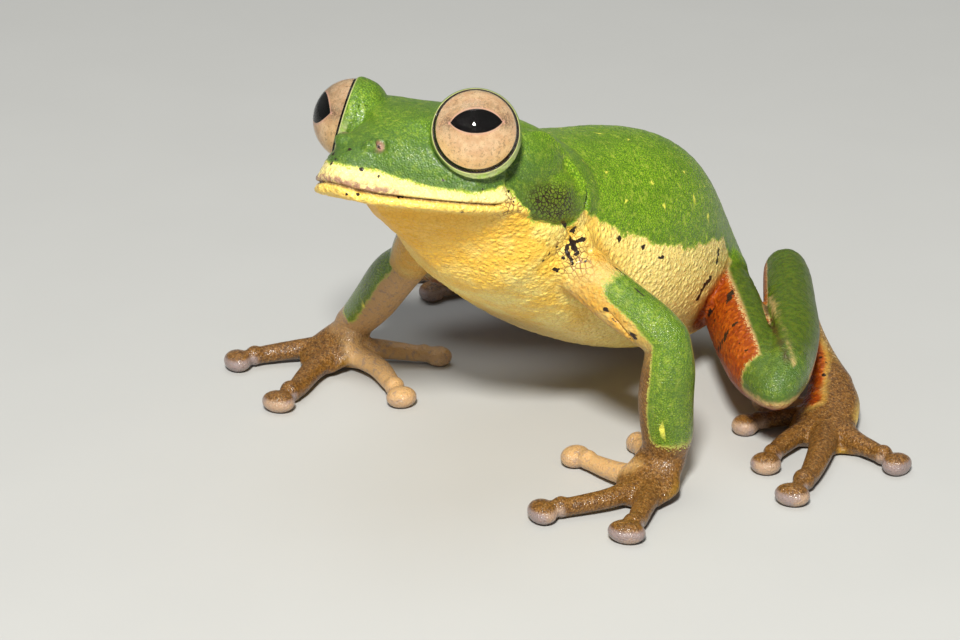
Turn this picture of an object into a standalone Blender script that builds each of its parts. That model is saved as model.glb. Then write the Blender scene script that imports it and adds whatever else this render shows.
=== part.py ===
"""Tree frog, life size, sitting with raised head: solid model in named pieces.

World axes: the frog faces -Y, its left side is +X, +Z is up, the floor is Z = 0.
Sizes below are millimetres and are turned into metres once, in `closedLoft` and
the other builders.  The head is drawn in its own frame: forward, left, up, counted
from a point just ahead of the upper lip.
"""
import math

import bmesh
import bpy
import numpy as np
from mathutils import Matrix, Vector

mm = 0.001                     # one millimetre in metres
gap = 0.30                     # clear space between neighbouring pieces
limbPoints, limbStep = 10, 1.95         # points round a limb, spacing of its rings
digitPoints, digitStep = 8, 1.55        # the same for fingers and toes
bodyKept = 0.038                        # share of the fine body triangles that is kept
bodyRingPoints = 32                     # points round the head and trunk

# ---------------------------------------------------------------- head
lipTip = (-0.67, -28.85, 23.20)            # zero point of the head frame in the world
headYaw, headPitch, headRoll = -2.8, 18.0, 6.3
headCut = 15.3                             # head ends this far behind the lip tip
mouthLevel = -0.20                         # height of the mouth slit in the head frame
eyeRadius = 3.0
eyeCentre = (-8.1, 5.18, 4.12)
eyeForward, eyeUp = 45.0, 16.0             # eye axis: turned forward, raised
lidThickness = 0.42
lidPlane = 0.95                            # lids end this far out along the eye axis
# station: forward, half width, lip height, top, bottom, narrowing of the top
headStations = [
    (-0.70, 0.60, 0.20, 0.90, -0.20, 0.20),
    (-0.95, 1.35, 0.20, 1.75, -0.55, 0.28),
    (-1.60, 2.25, 0.15, 2.50, -0.90, 0.34),
    (-2.70, 3.20, 0.05, 3.20, -1.30, 0.38),
    (-4.60, 4.70, -0.05, 4.10, -1.85, 0.40),
    (-6.80, 6.00, -0.15, 4.95, -2.80, 0.39),
    (-9.20, 6.95, -0.25, 5.45, -4.05, 0.33),
    (-11.80, 7.45, -0.20, 5.65, -5.40, 0.27),
    (-14.40, 7.65, 0.00, 5.45, -6.60, 0.22),
    (-17.00, 7.30, 0.10, 4.85, -7.40, 0.16),
    (-19.50, 6.40, 0.00, 3.80, -7.20, 0.10),
    (-21.50, 4.60, -0.80, 2.20, -5.90, 0.05),
]

# ---------------------------------------------------------------- trunk
trunkRoll = 2.6
# station: (y, z) on the back, (y, z) on the belly, half width
trunkStations = [
    ((-17.6, 23.4), (-21.4, 17.6), 4.8),
    ((-15.6, 24.1), (-20.6, 16.0), 6.5),
    ((-12.4, 23.3), (-18.0, 13.6), 7.2),
    ((-9.0, 22.1), (-14.9, 10.7), 7.4),
    ((-5.3, 20.8), (-11.6, 8.2), 7.7),
    ((-1.6, 20.1), (-7.9, 6.0), 7.9),
    ((1.7, 19.1), (-4.0, 4.3), 7.6),
    ((4.3, 17.6), (-0.3, 3.2), 6.8),
    ((6.4, 15.7), (3.2, 2.5), 5.6),
    ((8.1, 13.2), (6.3, 2.5), 4.5),
    ((9.4, 10.6), (8.7, 3.1), 3.6),
    ((10.5, 8.2), (10.4, 4.2), 2.5),
    ((11.0, 6.8), (11.0, 5.6), 0.9),
]

# ---------------------------------------------------------------- limbs, left side first
# station: x, y, z, width, height
armLeft = {
    "upper_arm": [(5.2, -13.0, 15.4, 3.5, 3.7), (7.4, -12.8, 14.4, 3.4, 3.6),
                  (10.0, -12.5, 13.0, 3.2, 3.5), (12.3, -12.0, 11.8, 3.2, 3.3),
                  (13.6, -11.8, 11.1, 3.0, 3.0)],
    "forearm": [(13.8, -11.8, 10.9, 2.9, 2.9), (13.8, -11.8, 9.2, 3.4, 3.5),
                (13.4, -11.7, 6.6, 3.5, 3.6), (13.0, -11.4, 4.0, 3.0, 3.0),
                (12.8, -11.4, 2.7, 2.8, 2.6)],
    "palm": [(12.8, -11.4, 2.4, 2.8, 2.4), (13.1, -12.4, 1.6, 3.9, 2.1),
             (13.4, -13.4, 1.1, 4.5, 1.8), (13.6, -14.3, 0.85, 3.8, 1.5)],
    "finger_1": [(12.2, -11.9, 1.3, 1.6, 1.5), (10.6, -10.3, 0.95, 1.35, 1.3),
                 (9.3, -9.1, 0.75, 1.15, 1.15), (8.1, -8.1, 0.62, 1.75, 1.4)],
    "finger_2": [(12.4, -12.9, 1.1, 1.9, 1.6), (10.2, -12.95, 0.9, 1.6, 1.35),
                 (8.2, -12.75, 0.78, 1.3, 1.2), (6.4, -12.6, 0.68, 2.2, 1.55)],
    "finger_3": [(13.2, -13.6, 1.05, 1.9, 1.6), (12.6, -16.2, 0.9, 1.55, 1.3),
                 (11.3, -18.6, 0.75, 1.35, 1.2), (10.35, -20.3, 0.68, 2.6, 1.55)],
    "finger_4": [(14.0, -13.6, 1.05, 1.8, 1.6), (15.1, -15.8, 0.9, 1.5, 1.3),
                 (15.9, -17.4, 0.75, 1.35, 1.2), (16.35, -18.9, 0.68, 2.6, 1.55)],
}
armRight = {
    "upper_arm": [(-4.6, -13.3, 15.6, 3.6, 3.8), (-6.8, -12.6, 14.0, 3.4, 3.6),
                  (-9.0, -11.6, 11.6, 3.2, 3.4), (-10.4, -10.9, 9.9, 3.0, 3.1)],
    "forearm": [(-10.3, -10.9, 9.9, 2.9, 2.9), (-12.2, -10.8, 8.2, 3.3, 3.4),
                (-14.4, -10.4, 5.7, 3.2, 3.2), (-16.3, -10.0, 3.8, 2.8, 2.8),
                (-17.2, -10.0, 2.9, 2.7, 2.6)],
    "palm": [(-17.0, -10.0, 2.7, 2.8, 2.4), (-17.4, -11.0, 1.9, 3.9, 2.1),
             (-17.5, -12.0, 1.3, 4.5, 1.8), (-17.5, -12.9, 0.95, 3.8, 1.5)],
    "finger_1": [(-16.9, -10.6, 1.4, 1.8, 1.6), (-15.0, -8.7, 1.05, 1.6, 1.35),
                 (-13.4, -7.5, 0.85, 1.25, 1.2), (-12.1, -6.5, 0.66, 1.75, 1.4)],
    "finger_2": [(-16.6, -11.2, 1.3, 2.0, 1.6), (-13.7, -11.2, 0.95, 1.7, 1.35),
                 (-11.2, -12.3, 0.78, 1.35, 1.2), (-9.1, -13.4, 0.68, 2.2, 1.55)],
    "finger_3": [(-17.1, -12.1, 1.15, 2.1, 1.7), (-16.6, -14.7, 0.95, 1.75, 1.4),
                 (-15.5, -17.3, 0.78, 1.5, 1.25), (-15.0, -19.6, 0.68, 2.5, 1.55)],
    "finger_4": [(-18.1, -11.2, 1.3, 1.9, 1.7), (-20.0, -12.8, 1.0, 1.6, 1.4),
                 (-21.5, -14.8, 0.8, 1.35, 1.25), (-22.3, -16.6, 0.68, 2.4, 1.55)],
}
legLeft = {
    "thigh": [(2.9, 8.0, 6.5, 4.2, 5.4), (5.6, 5.5, 5.8, 4.4, 6.2),
              (9.2, 2.3, 5.4, 4.4, 6.0), (12.7, -0.8, 5.1, 4.1, 5.1),
              (15.4, -2.6, 5.0, 3.5, 3.9), (16.3, -3.2, 5.0, 3.1, 3.3)],
    "shank": [(16.1, -3.0, 5.4, 3.2, 3.4), (14.9, -0.8, 5.9, 3.6, 3.8),
              (11.9, 3.5, 6.0, 3.9, 4.0), (8.6, 7.5, 5.9, 3.7, 3.8),
              (5.8, 10.8, 5.8, 3.5, 3.6), (4.2, 12.6, 5.7, 3.2, 3.4)],
    "tarsus": [(4.8, 13.3, 4.9, 2.6, 2.5), (7.0, 12.0, 4.0, 2.4, 2.3),
               (9.6, 10.0, 3.2, 2.5, 2.2), (12.0, 7.9, 2.5, 2.8, 2.2),
               (13.9, 6.0, 2.0, 3.2, 2.1)],
    "sole": [(13.9, 6.0, 1.9, 3.2, 2.0), (15.0, 4.2, 1.5, 3.9, 2.0),
             (15.9, 2.4, 1.15, 4.4, 1.8), (16.6, 0.8, 0.9, 4.4, 1.5)],
    "toe_1": [(14.9, 3.9, 1.1, 1.5, 1.3), (13.2, 3.7, 0.9, 1.3, 1.2),
              (11.6, 3.3, 0.75, 1.1, 1.1), (10.4, 2.7, 0.62, 1.6, 1.35)],
    "toe_2": [(15.3, 2.9, 1.15, 1.7, 1.5), (13.6, 1.9, 0.9, 1.4, 1.3),
              (12.4, 0.3, 0.76, 1.2, 1.15), (11.7, -1.1, 0.64, 1.9, 1.45)],
    "toe_3": [(15.9, 2.0, 1.1, 1.9, 1.6), (15.8, -1.0, 0.95, 1.6, 1.35),
              (16.0, -3.1, 0.78, 1.3, 1.2), (16.6, -5.0, 0.66, 2.15, 1.5)],
    "toe_4": [(16.7, 1.4, 1.1, 2.1, 1.6), (18.5, -1.5, 0.98, 1.8, 1.45),
              (20.0, -4.6, 0.8, 1.45, 1.25), (20.9, -7.6, 0.68, 2.45, 1.55)],
    "toe_5": [(16.9, 2.2, 1.15, 2.0, 1.6), (19.1, 1.3, 0.95, 1.6, 1.35),
              (21.1, 1.1, 0.78, 1.3, 1.2), (23.2, 0.7, 0.66, 2.15, 1.5)],
}
legRight = {
    "thigh": [(-2.9, 8.0, 6.5, 4.2, 5.4), (-5.7, 5.8, 5.8, 4.4, 6.2),
              (-9.4, 3.0, 5.4, 4.4, 6.0), (-12.9, 0.3, 5.1, 4.1, 5.1),
              (-15.6, -1.3, 5.0, 3.5, 3.9), (-16.5, -1.9, 5.0, 3.1, 3.3)],
    "shank": [(-16.3, -1.6, 5.4, 3.2, 3.4), (-15.1, 0.6, 5.9, 3.6, 3.8),
              (-12.3, 4.9, 5.9, 3.9, 4.0), (-9.3, 9.0, 5.7, 3.6, 3.7),
              (-6.7, 12.4, 5.5, 3.3, 3.4), (-5.2, 14.3, 5.3, 3.0, 3.2)],
    "tarsus": [(-5.7, 14.9, 4.7, 2.6, 2.5), (-8.1, 14.3, 3.8, 2.4, 2.3),
               (-10.8, 13.3, 3.0, 2.5, 2.2), (-13.3, 12.0, 2.4, 2.8, 2.2),
               (-15.3, 10.7, 2.0, 3.2, 2.1)],
    "sole": [(-15.3, 10.7, 1.9, 3.2, 2.0), (-16.7, 9.4, 1.5, 3.9, 2.0),
             (-18.0, 8.1, 1.15, 4.4, 1.8), (-19.2, 7.1, 0.9, 4.4, 1.5)],
    "toe_1": [(-16.4, 9.1, 1.1, 1.5, 1.3), (-14.8, 8.6, 0.9, 1.3, 1.2),
              (-13.2, 7.9, 0.75, 1.1, 1.1), (-12.1, 7.1, 0.62, 1.6, 1.35)],
    "toe_2": [(-17.0, 8.5, 1.15, 1.7, 1.5), (-15.9, 6.9, 0.9, 1.4, 1.3),
              (-15.2, 5.2, 0.76, 1.2, 1.15), (-14.9, 3.7, 0.64, 1.9, 1.45)],
    "toe_3": [(-18.0, 7.9, 1.1, 1.9, 1.6), (-19.0, 5.4, 0.95, 1.6, 1.35),
              (-19.9, 3.7, 0.78, 1.3, 1.2), (-20.8, 1.9, 0.66, 2.15, 1.5)],
    "toe_4": [(-18.8, 7.6, 1.1, 2.1, 1.6), (-21.4, 5.7, 0.98, 1.8, 1.45),
              (-23.9, 3.5, 0.8, 1.45, 1.25), (-25.5, 1.0, 0.68, 2.45, 1.55)],
    "toe_5": [(-18.8, 8.4, 1.15, 2.0, 1.6), (-21.1, 8.6, 0.95, 1.6, 1.35),
              (-23.0, 9.2, 0.78, 1.3, 1.2), (-24.9, 9.4, 0.66, 2.15, 1.5)],
}
webReach = {("toe_1", "toe_2"): 0.30, ("toe_2", "toe_3"): 0.42,
            ("toe_3", "toe_4"): 0.40, ("toe_4", "toe_5"): 0.52}
webLow, webHigh = 0.28, 0.90               # under and upper side of the toe webs

# colour of each kind of piece: base colour, roughness
colours = {
    "green": ((0.13, 0.30, 0.05, 1), 0.35),
    "belly": ((0.78, 0.55, 0.16, 1), 0.40),
    "hand": ((0.33, 0.17, 0.08, 1), 0.40),
    "orange": ((0.66, 0.26, 0.04, 1), 0.40),
    "iris": ((0.62, 0.38, 0.22, 1), 0.08),
}


def clearScene():
    for thing in list(bpy.data.objects):
        bpy.data.objects.remove(thing, do_unlink=True)


def makeCollection(name):
    made = bpy.data.collections.new(name)
    bpy.context.scene.collection.children.link(made)
    return made


def headFrame():
    """Forward, left and up of the head as unit vectors."""
    yaw, pitch, roll = (math.radians(v) for v in (headYaw, headPitch, headRoll))
    level = np.array([math.sin(yaw), -math.cos(yaw), 0.0])
    side = np.array([math.cos(yaw), math.sin(yaw), 0.0])
    forward = math.cos(pitch) * level + math.sin(pitch) * np.array([0, 0, 1.0])
    rise = -math.sin(pitch) * level + math.cos(pitch) * np.array([0, 0, 1.0])
    left = math.cos(roll) * side + math.sin(roll) * rise
    up = -math.sin(roll) * side + math.cos(roll) * rise
    return forward, left, up


def headPoint(forwardDistance, leftDistance, upDistance):
    forward, left, up = headFrame()
    return (np.array(lipTip) + forwardDistance * forward
            + leftDistance * left + upDistance * up)


def eyeAxis(side):
    forward, left, up = headFrame()
    turn, rise = math.radians(eyeForward), math.radians(eyeUp)
    return (math.cos(rise) * math.cos(turn) * forward
            + side * math.cos(rise) * math.sin(turn) * left + math.sin(rise) * up)


def finishMesh(name, bm, collection):
    bmesh.ops.remove_doubles(bm, verts=bm.verts, dist=0.0000005)
    bmesh.ops.recalc_face_normals(bm, faces=bm.faces)
    mesh = bpy.data.meshes.new(name)
    bm.to_mesh(mesh)
    bm.free()
    made = bpy.data.objects.new(name, mesh)
    collection.objects.link(made)
    return made


def closedLoft(name, rings, collection):
    """Skin a list of equal rings (millimetres) and close both ends with a point."""
    bm = bmesh.new()
    loops = [[bm.verts.new(Vector(p) * mm) for p in ring] for ring in rings]
    count = len(loops[0])
    for first, second in zip(loops, loops[1:]):
        for k in range(count):
            n = (k + 1) % count
            bm.faces.new((first[k], first[n], second[n], second[k]))
    for loop, ring in ((loops[0], rings[0]), (loops[-1], rings[-1])):
        tip = bm.verts.new(Vector(np.mean(np.array(ring), axis=0)) * mm)
        for k in range(count):
            bm.faces.new((loop[k], loop[(k + 1) % count], tip))
    return finishMesh(name, bm, collection)


def power(value, exponent):
    return math.copysign(abs(value) ** exponent, value)


def headRings():
    rings = []
    for along, half, lip, top, bottom, narrow in headStations:
        ring = []
        for k in range(bodyRingPoints):
            t = 2 * math.pi * k / bodyRingPoints
            c, s = math.cos(t), math.sin(t)
            if s >= 0:
                side = half * power(c, 0.72) * (1 - narrow * s)
                height = lip + (top - lip) * power(s, 0.85)
            else:
                side = half * power(c, 0.80)
                height = lip + (lip - bottom) * power(s, 1.05)
            ring.append(headPoint(along, side, height))
        rings.append(ring)
    return rings


def trunkRings():
    rings = []
    roll = math.radians(trunkRoll)
    across = np.array([math.cos(roll), 0.0, math.sin(roll)])
    for (backY, backZ), (bellyY, bellyZ), half in trunkStations:
        back, belly = np.array([0, backY, backZ]), np.array([0, bellyY, bellyZ])
        middle, rise = (back + belly) / 2, (back - belly) / 2
        ring = []
        for k in range(bodyRingPoints):
            t = 2 * math.pi * k / bodyRingPoints
            c, s = math.cos(t), math.sin(t)
            wide = half * power(c, 0.90) * (1 - 0.10 * s)
            ring.append(middle + across * wide + rise * power(s, 0.95))
        rings.append(ring)
    return rings


def smoothPath(stations, step=limbStep):
    """Catmull-Rom through the stations, rings about one step apart."""
    pts = [np.array(s, dtype=float) for s in stations]
    ends = [2 * pts[0] - pts[1]] + pts + [2 * pts[-1] - pts[-2]]
    out = []
    for i in range(1, len(ends) - 2):
        a, b, c, d = ends[i - 1:i + 3]
        pieces = max(1, round(np.linalg.norm((c - b)[:3]) / step))
        for j in range(pieces):
            t = j / pieces
            out.append(0.5 * (2 * b + (c - a) * t + (2 * a - 5 * b + 4 * c - d) * t * t
                              + (3 * b - a - 3 * c + d) * t ** 3))
    out.append(pts[-1])
    return out


def limbRings(stations, grow, points, step):
    """Oval rings square to the path; both ends are rounded off."""
    path = smoothPath(stations, step)
    centres = np.array([p[:3] for p in path])
    sizes = np.array([p[3:] for p in path]) / 2 + grow
    tangents = np.gradient(centres, axis=0)
    tangents /= np.linalg.norm(tangents, axis=1)[:, None]
    rings = []

    def addRing(centre, tangent, half):
        flat = np.cross(np.array([0, 0, 1.0]), tangent)
        if np.linalg.norm(flat) < 0.35:
            flat = flat + np.array([0.5, 0.0, 0.0])
        flat = flat - tangent * (flat @ tangent)
        flat /= np.linalg.norm(flat)
        rise = np.cross(tangent, flat)
        rings.append([centre + flat * half[0] * math.cos(a) + rise * half[1] * math.sin(a)
                      for a in np.arange(points) * 2 * math.pi / points])

    for share in (0.93, 0.55):
        back = math.sqrt(1 - (1 - share) ** 2) if share > 0.9 else 0.62
        addRing(centres[0] - tangents[0] * sizes[0].mean() * back,
                tangents[0], sizes[0] * (0.42 if share > 0.9 else 0.84))
    for centre, tangent, half in zip(centres, tangents, sizes):
        addRing(centre, tangent, half)
    for back, size in ((0.62, 0.84), (0.93, 0.42)):
        addRing(centres[-1] + tangents[-1] * sizes[-1].mean() * back, tangents[-1],
                sizes[-1] * size)
    return rings


def limb(name, stations, collection, grow=0.0, digit=False):
    points, step = (digitPoints, digitStep) if digit else (limbPoints, limbStep)
    return closedLoft(name, limbRings(stations, grow, points, step), collection)


def ball(name, centre, radius, collection, segments=28, rings=16):
    bm = bmesh.new()
    bmesh.ops.create_uvsphere(bm, u_segments=segments, v_segments=rings, radius=radius * mm)
    bmesh.ops.translate(bm, verts=bm.verts, vec=Vector(centre) * mm)
    return finishMesh(name, bm, collection)


def clipMesh(thing, point, normal):
    """Remove what lies beyond a plane and close the cut."""
    bm = bmesh.new()
    bm.from_mesh(thing.data)
    geometry = bm.verts[:] + bm.edges[:] + bm.faces[:]
    cut = bmesh.ops.bisect_plane(bm, geom=geometry, dist=0.0000002, plane_co=Vector(point) * mm,
                                 plane_no=Vector(normal), clear_outer=True)
    edges = [e for e in cut["geom_cut"] if isinstance(e, bmesh.types.BMEdge)]
    if edges:
        bmesh.ops.holes_fill(bm, edges=[e for e in bm.edges if e.is_boundary], sides=0)
    bmesh.ops.recalc_face_normals(bm, faces=bm.faces)
    bm.to_mesh(thing.data)
    bm.free()


def thinBox(name, centre, axes, halves, collection):
    bm = bmesh.new()
    bmesh.ops.create_cube(bm, size=2.0)
    turn = Matrix([list(a) for a in axes]).transposed().to_4x4()
    scale = Matrix.Diagonal((*[h * mm for h in halves], 1.0))
    move = Matrix.Translation(Vector(centre) * mm)
    bmesh.ops.transform(bm, matrix=move @ turn @ scale, verts=bm.verts)
    return finishMesh(name, bm, collection)


def applyModifiers(thing):
    graph = bpy.context.evaluated_depsgraph_get()
    mesh = bpy.data.meshes.new_from_object(thing.evaluated_get(graph))
    thing.modifiers.clear()
    old = thing.data
    thing.data = mesh
    bpy.data.meshes.remove(old)


def combine(thing, other, operation):
    step = thing.modifiers.new(operation.lower(), "BOOLEAN")
    step.operation = operation
    step.solver = "EXACT"
    step.object = other
    applyModifiers(thing)


def keepLargest(thing):
    bm = bmesh.new()
    bm.from_mesh(thing.data)
    left, groups = set(bm.verts), []
    while left:
        stack, group = [next(iter(left))], set()
        left.discard(stack[0])
        while stack:
            vert = stack.pop()
            group.add(vert)
            for edge in vert.link_edges:
                other = edge.other_vert(vert)
                if other in left:
                    left.discard(other)
                    stack.append(other)
        groups.append(group)
    groups.sort(key=len, reverse=True)
    extra = [v for g in groups[1:] for v in g]
    if extra:
        bmesh.ops.delete(bm, geom=extra, context="VERTS")
    bm.to_mesh(thing.data)
    bm.free()


def splitLoose(thing, collection):
    """Each closed shell of an object as an object of its own."""
    bm = bmesh.new()
    bm.from_mesh(thing.data)
    bm.verts.ensure_lookup_table()
    label = {}
    for start in bm.verts:
        if start.index in label:
            continue
        stack = [start]
        label[start.index] = start.index
        while stack:
            vert = stack.pop()
            for edge in vert.link_edges:
                other = edge.other_vert(vert)
                if other.index not in label:
                    label[other.index] = start.index
                    stack.append(other)
    shells = []
    for key in sorted(set(label.values())):
        part = bm.copy()
        part.verts.ensure_lookup_table()
        bmesh.ops.delete(part, geom=[v for v in part.verts if label[v.index] != key],
                         context="VERTS")
        shells.append(finishMesh("shell", part, collection))
    bm.free()
    return shells


def centroid(thing):
    co = np.array([v.co[:] for v in thing.data.vertices])
    return co.mean(axis=0) / mm


def bodyBlank(collection, scratch):
    """Head, trunk and eye mounds grown together into one smooth closed body."""
    pieces = [closedLoft("headBlank", headRings(), scratch),
              closedLoft("trunkBlank", trunkRings(), scratch)]
    for side in (1, -1):
        centre = headPoint(eyeCentre[0], side * eyeCentre[1], eyeCentre[2])
        mound = ball("moundBlank", centre, eyeRadius + lidThickness, scratch)
        axis = eyeAxis(side)
        clipMesh(mound, centre + axis * lidPlane, axis)
        pieces.append(mound)
    body = pieces[0]
    for other in pieces[1:]:
        combine(body, other, "UNION")
    grow = body.modifiers.new("even", "REMESH")
    grow.mode, grow.voxel_size, grow.use_smooth_shade = "VOXEL", 0.42 * mm, False
    ease = body.modifiers.new("ease", "SMOOTH")
    ease.factor, ease.iterations = 0.5, 6
    thin = body.modifiers.new("thin", "DECIMATE")
    thin.ratio = bodyKept
    thin.use_collapse_triangulate = True
    applyModifiers(body)
    keepLargest(body)
    return body


def addEyes(body, collection, scratch):
    eyes = {}
    for side, word in ((1, "left"), (-1, "right")):
        centre = headPoint(eyeCentre[0], side * eyeCentre[1], eyeCentre[2])
        socket = ball("socket", centre, eyeRadius + 0.22, scratch, 18, 10)
        combine(body, socket, "DIFFERENCE")
        keepLargest(body)
        eyes["eye_" + word] = ball("eye_" + word, centre, eyeRadius, collection, 18, 10)
    return eyes


def divideBody(body, collection, scratch):
    """Neck and mouth slits part the body into head, lower jaw and trunk."""
    forward, left, up = headFrame()
    neck = thinBox("neckSlit", headPoint(-headCut, 0, 0), (forward, left, up),
                   (gap / 2, 11.0, 10.5), scratch)
    combine(body, neck, "DIFFERENCE")
    mouth = thinBox("mouthSlit", headPoint(-headCut / 2 + 2.0, 0, mouthLevel),
                    (forward, left, up), (headCut / 2 + 2.1, 11.0, gap / 2), scratch)
    combine(body, mouth, "DIFFERENCE")
    shells = [s for s in splitLoose(body, collection) if len(s.data.vertices) > 60]
    seeds = {"head": headPoint(-9, 0, 2.6), "lower_jaw": headPoint(-9, 0, -2.6),
             "trunk": np.array([0, -2, 12.0])}
    named = {}
    for word, seed in seeds.items():
        best = min(shells, key=lambda s: np.linalg.norm(centroid(s) - seed))
        best.name = word
        named[word] = best
    return named


def pathPoint(stations, share):
    path = smoothPath(stations)
    return path[min(len(path) - 1, int(round(share * (len(path) - 1))))][:3]


def webSheet(first, second, reach, scratch):
    """A thin closed web between two toes, its free edge drawn in."""
    a0, b0 = pathPoint(first, 0.0), pathPoint(second, 0.0)
    a1, b1 = pathPoint(first, reach), pathPoint(second, reach)
    root = (a0 + b0) / 2
    root = root + (root - (a1 + b1) / 2) * 0.15
    middle = (a1 + b1) / 2
    middle = root + (middle - root) * 0.72
    quarter = [root + ((3 * a1 + b1) / 4 - root) * 0.80, root + ((a1 + 3 * b1) / 4 - root) * 0.80]
    outline = [root, a1, quarter[0], middle, quarter[1], b1]
    bm = bmesh.new()
    low = [bm.verts.new(Vector((p[0], p[1], webLow)) * mm) for p in outline]
    high = [bm.verts.new(Vector((p[0], p[1], webHigh)) * mm) for p in outline]
    bm.faces.new(low)
    bm.faces.new(high)
    for k in range(len(outline)):
        n = (k + 1) % len(outline)
        bm.faces.new((low[k], low[n], high[n], high[k]))
    return finishMesh("web", bm, scratch)


def settleOnFloor(thing):
    clipMesh(thing, (0, 0, 0), (0, 0, -1))


def cutBy(thing, stations, scratch, digit=False):
    tool = limb("tool", stations, scratch, grow=gap, digit=digit)
    combine(thing, tool, "DIFFERENCE")
    keepLargest(thing)


def buildArm(arm, word, collection, scratch):
    made = {"forearm": limb("forearm_" + word, arm["forearm"], collection)}
    upper = limb("upper_arm_" + word, arm["upper_arm"], collection)
    cutBy(upper, arm["forearm"], scratch)
    palm = limb("palm_" + word, arm["palm"], collection)
    settleOnFloor(palm)
    cutBy(palm, arm["forearm"], scratch)
    made.update(upper_arm=upper, palm=palm)
    for k in range(1, 5):
        key = "finger_%d" % k
        finger = limb(key + "_" + word, arm[key], collection, digit=True)
        for other in range(1, k):
            cutBy(finger, arm["finger_%d" % other], scratch, digit=True)
        cutBy(finger, arm["palm"], scratch)
        cutBy(finger, arm["forearm"], scratch)
        settleOnFloor(finger)
        made[key] = finger
    return made


def buildLeg(leg, word, collection, scratch):
    made = {"shank": limb("shank_" + word, leg["shank"], collection)}
    thigh = limb("thigh_" + word, leg["thigh"], collection)
    cutBy(thigh, leg["shank"], scratch)
    tarsus = limb("tarsus_" + word, leg["tarsus"], collection)
    cutBy(tarsus, leg["shank"], scratch)
    sole = limb("sole_" + word, leg["sole"], collection)
    settleOnFloor(sole)
    cutBy(sole, leg["tarsus"], scratch)
    made.update(thigh=thigh, tarsus=tarsus, sole=sole)
    for k in range(1, 6):
        key = "toe_%d" % k
        toe = limb(key + "_" + word, leg[key], collection, digit=True)
        if k > 1:
            before = "toe_%d" % (k - 1)
            web = webSheet(leg[before], leg[key], webReach[(before, key)], scratch)
            combine(toe, web, "UNION")
        for other in range(1, k):
            cutBy(toe, leg["toe_%d" % other], scratch, digit=True)
        cutBy(toe, leg["sole"], scratch)
        cutBy(toe, leg["tarsus"], scratch)
        settleOnFloor(toe)
        made[key] = toe
    return made


def paint(thing, kind):
    name = "frog_" + kind
    material = bpy.data.materials.get(name + "_" + thing.name)
    material = material or bpy.data.materials.new(name + "_" + thing.name)
    material.use_nodes = True
    shader = material.node_tree.nodes["Principled BSDF"]
    shader.inputs["Base Color"].default_value = colours[kind][0]
    shader.inputs["Roughness"].default_value = colours[kind][1]
    thing.data.materials.clear()
    thing.data.materials.append(material)


def kindOf(name):
    if name.startswith("eye"):
        return "iris"
    if name.startswith("lower_jaw"):
        return "belly"
    if name.startswith("thigh"):
        return "orange"
    if name.startswith(("palm", "finger", "sole", "toe", "tarsus")):
        return "hand"
    return "green"


def faceOutward(thing):
    bm = bmesh.new()
    bm.from_mesh(thing.data)
    if bm.calc_volume(signed=True) < 0:
        bmesh.ops.reverse_faces(bm, faces=bm.faces)
        bm.to_mesh(thing.data)
    bm.free()


def centreOnFloor(things):
    """Origin to the bottom centre of the box round everything."""
    co = np.array([v.co[:] for t in things for v in t.data.vertices])
    low, high = co.min(axis=0), co.max(axis=0)
    shift = Matrix.Translation((-(low[0] + high[0]) / 2, -(low[1] + high[1]) / 2, -low[2]))
    for thing in things:
        thing.data.transform(shift)


def build():
    clearScene()
    frog = makeCollection("tree_frog")
    scratch = makeCollection("cutters")
    body = bodyBlank(frog, scratch)
    nodes = addEyes(body, frog, scratch)
    nodes.update(divideBody(body, frog, scratch))
    for limbs, maker in (((armLeft, armRight), buildArm), ((legLeft, legRight), buildLeg)):
        for table, word in zip(limbs, ("left", "right")):
            for key, thing in maker(table, word, frog, scratch).items():
                nodes[key + "_" + word] = thing
    for table in (armLeft, armRight):
        cutBy(nodes["trunk"], table["upper_arm"], scratch)
    for table in (legLeft, legRight):
        for key in ("thigh", "shank", "tarsus"):
            cutBy(nodes["trunk"], table[key], scratch)
    for thing in list(scratch.objects):
        bpy.data.objects.remove(thing, do_unlink=True)
    bpy.data.collections.remove(scratch)
    for name, thing in nodes.items():
        thing.name = name
        thing.data.name = name
        faceOutward(thing)
        paint(thing, kindOf(name))
    for thing in list(frog.objects):
        if thing.name not in nodes:
            bpy.data.objects.remove(thing, do_unlink=True)
    centreOnFloor(list(frog.objects))
    return frog


build()
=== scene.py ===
import math

import bmesh
import bpy
import numpy as np
from mathutils import Matrix, Vector, noise
from mathutils.bvhtree import BVHTree


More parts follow.
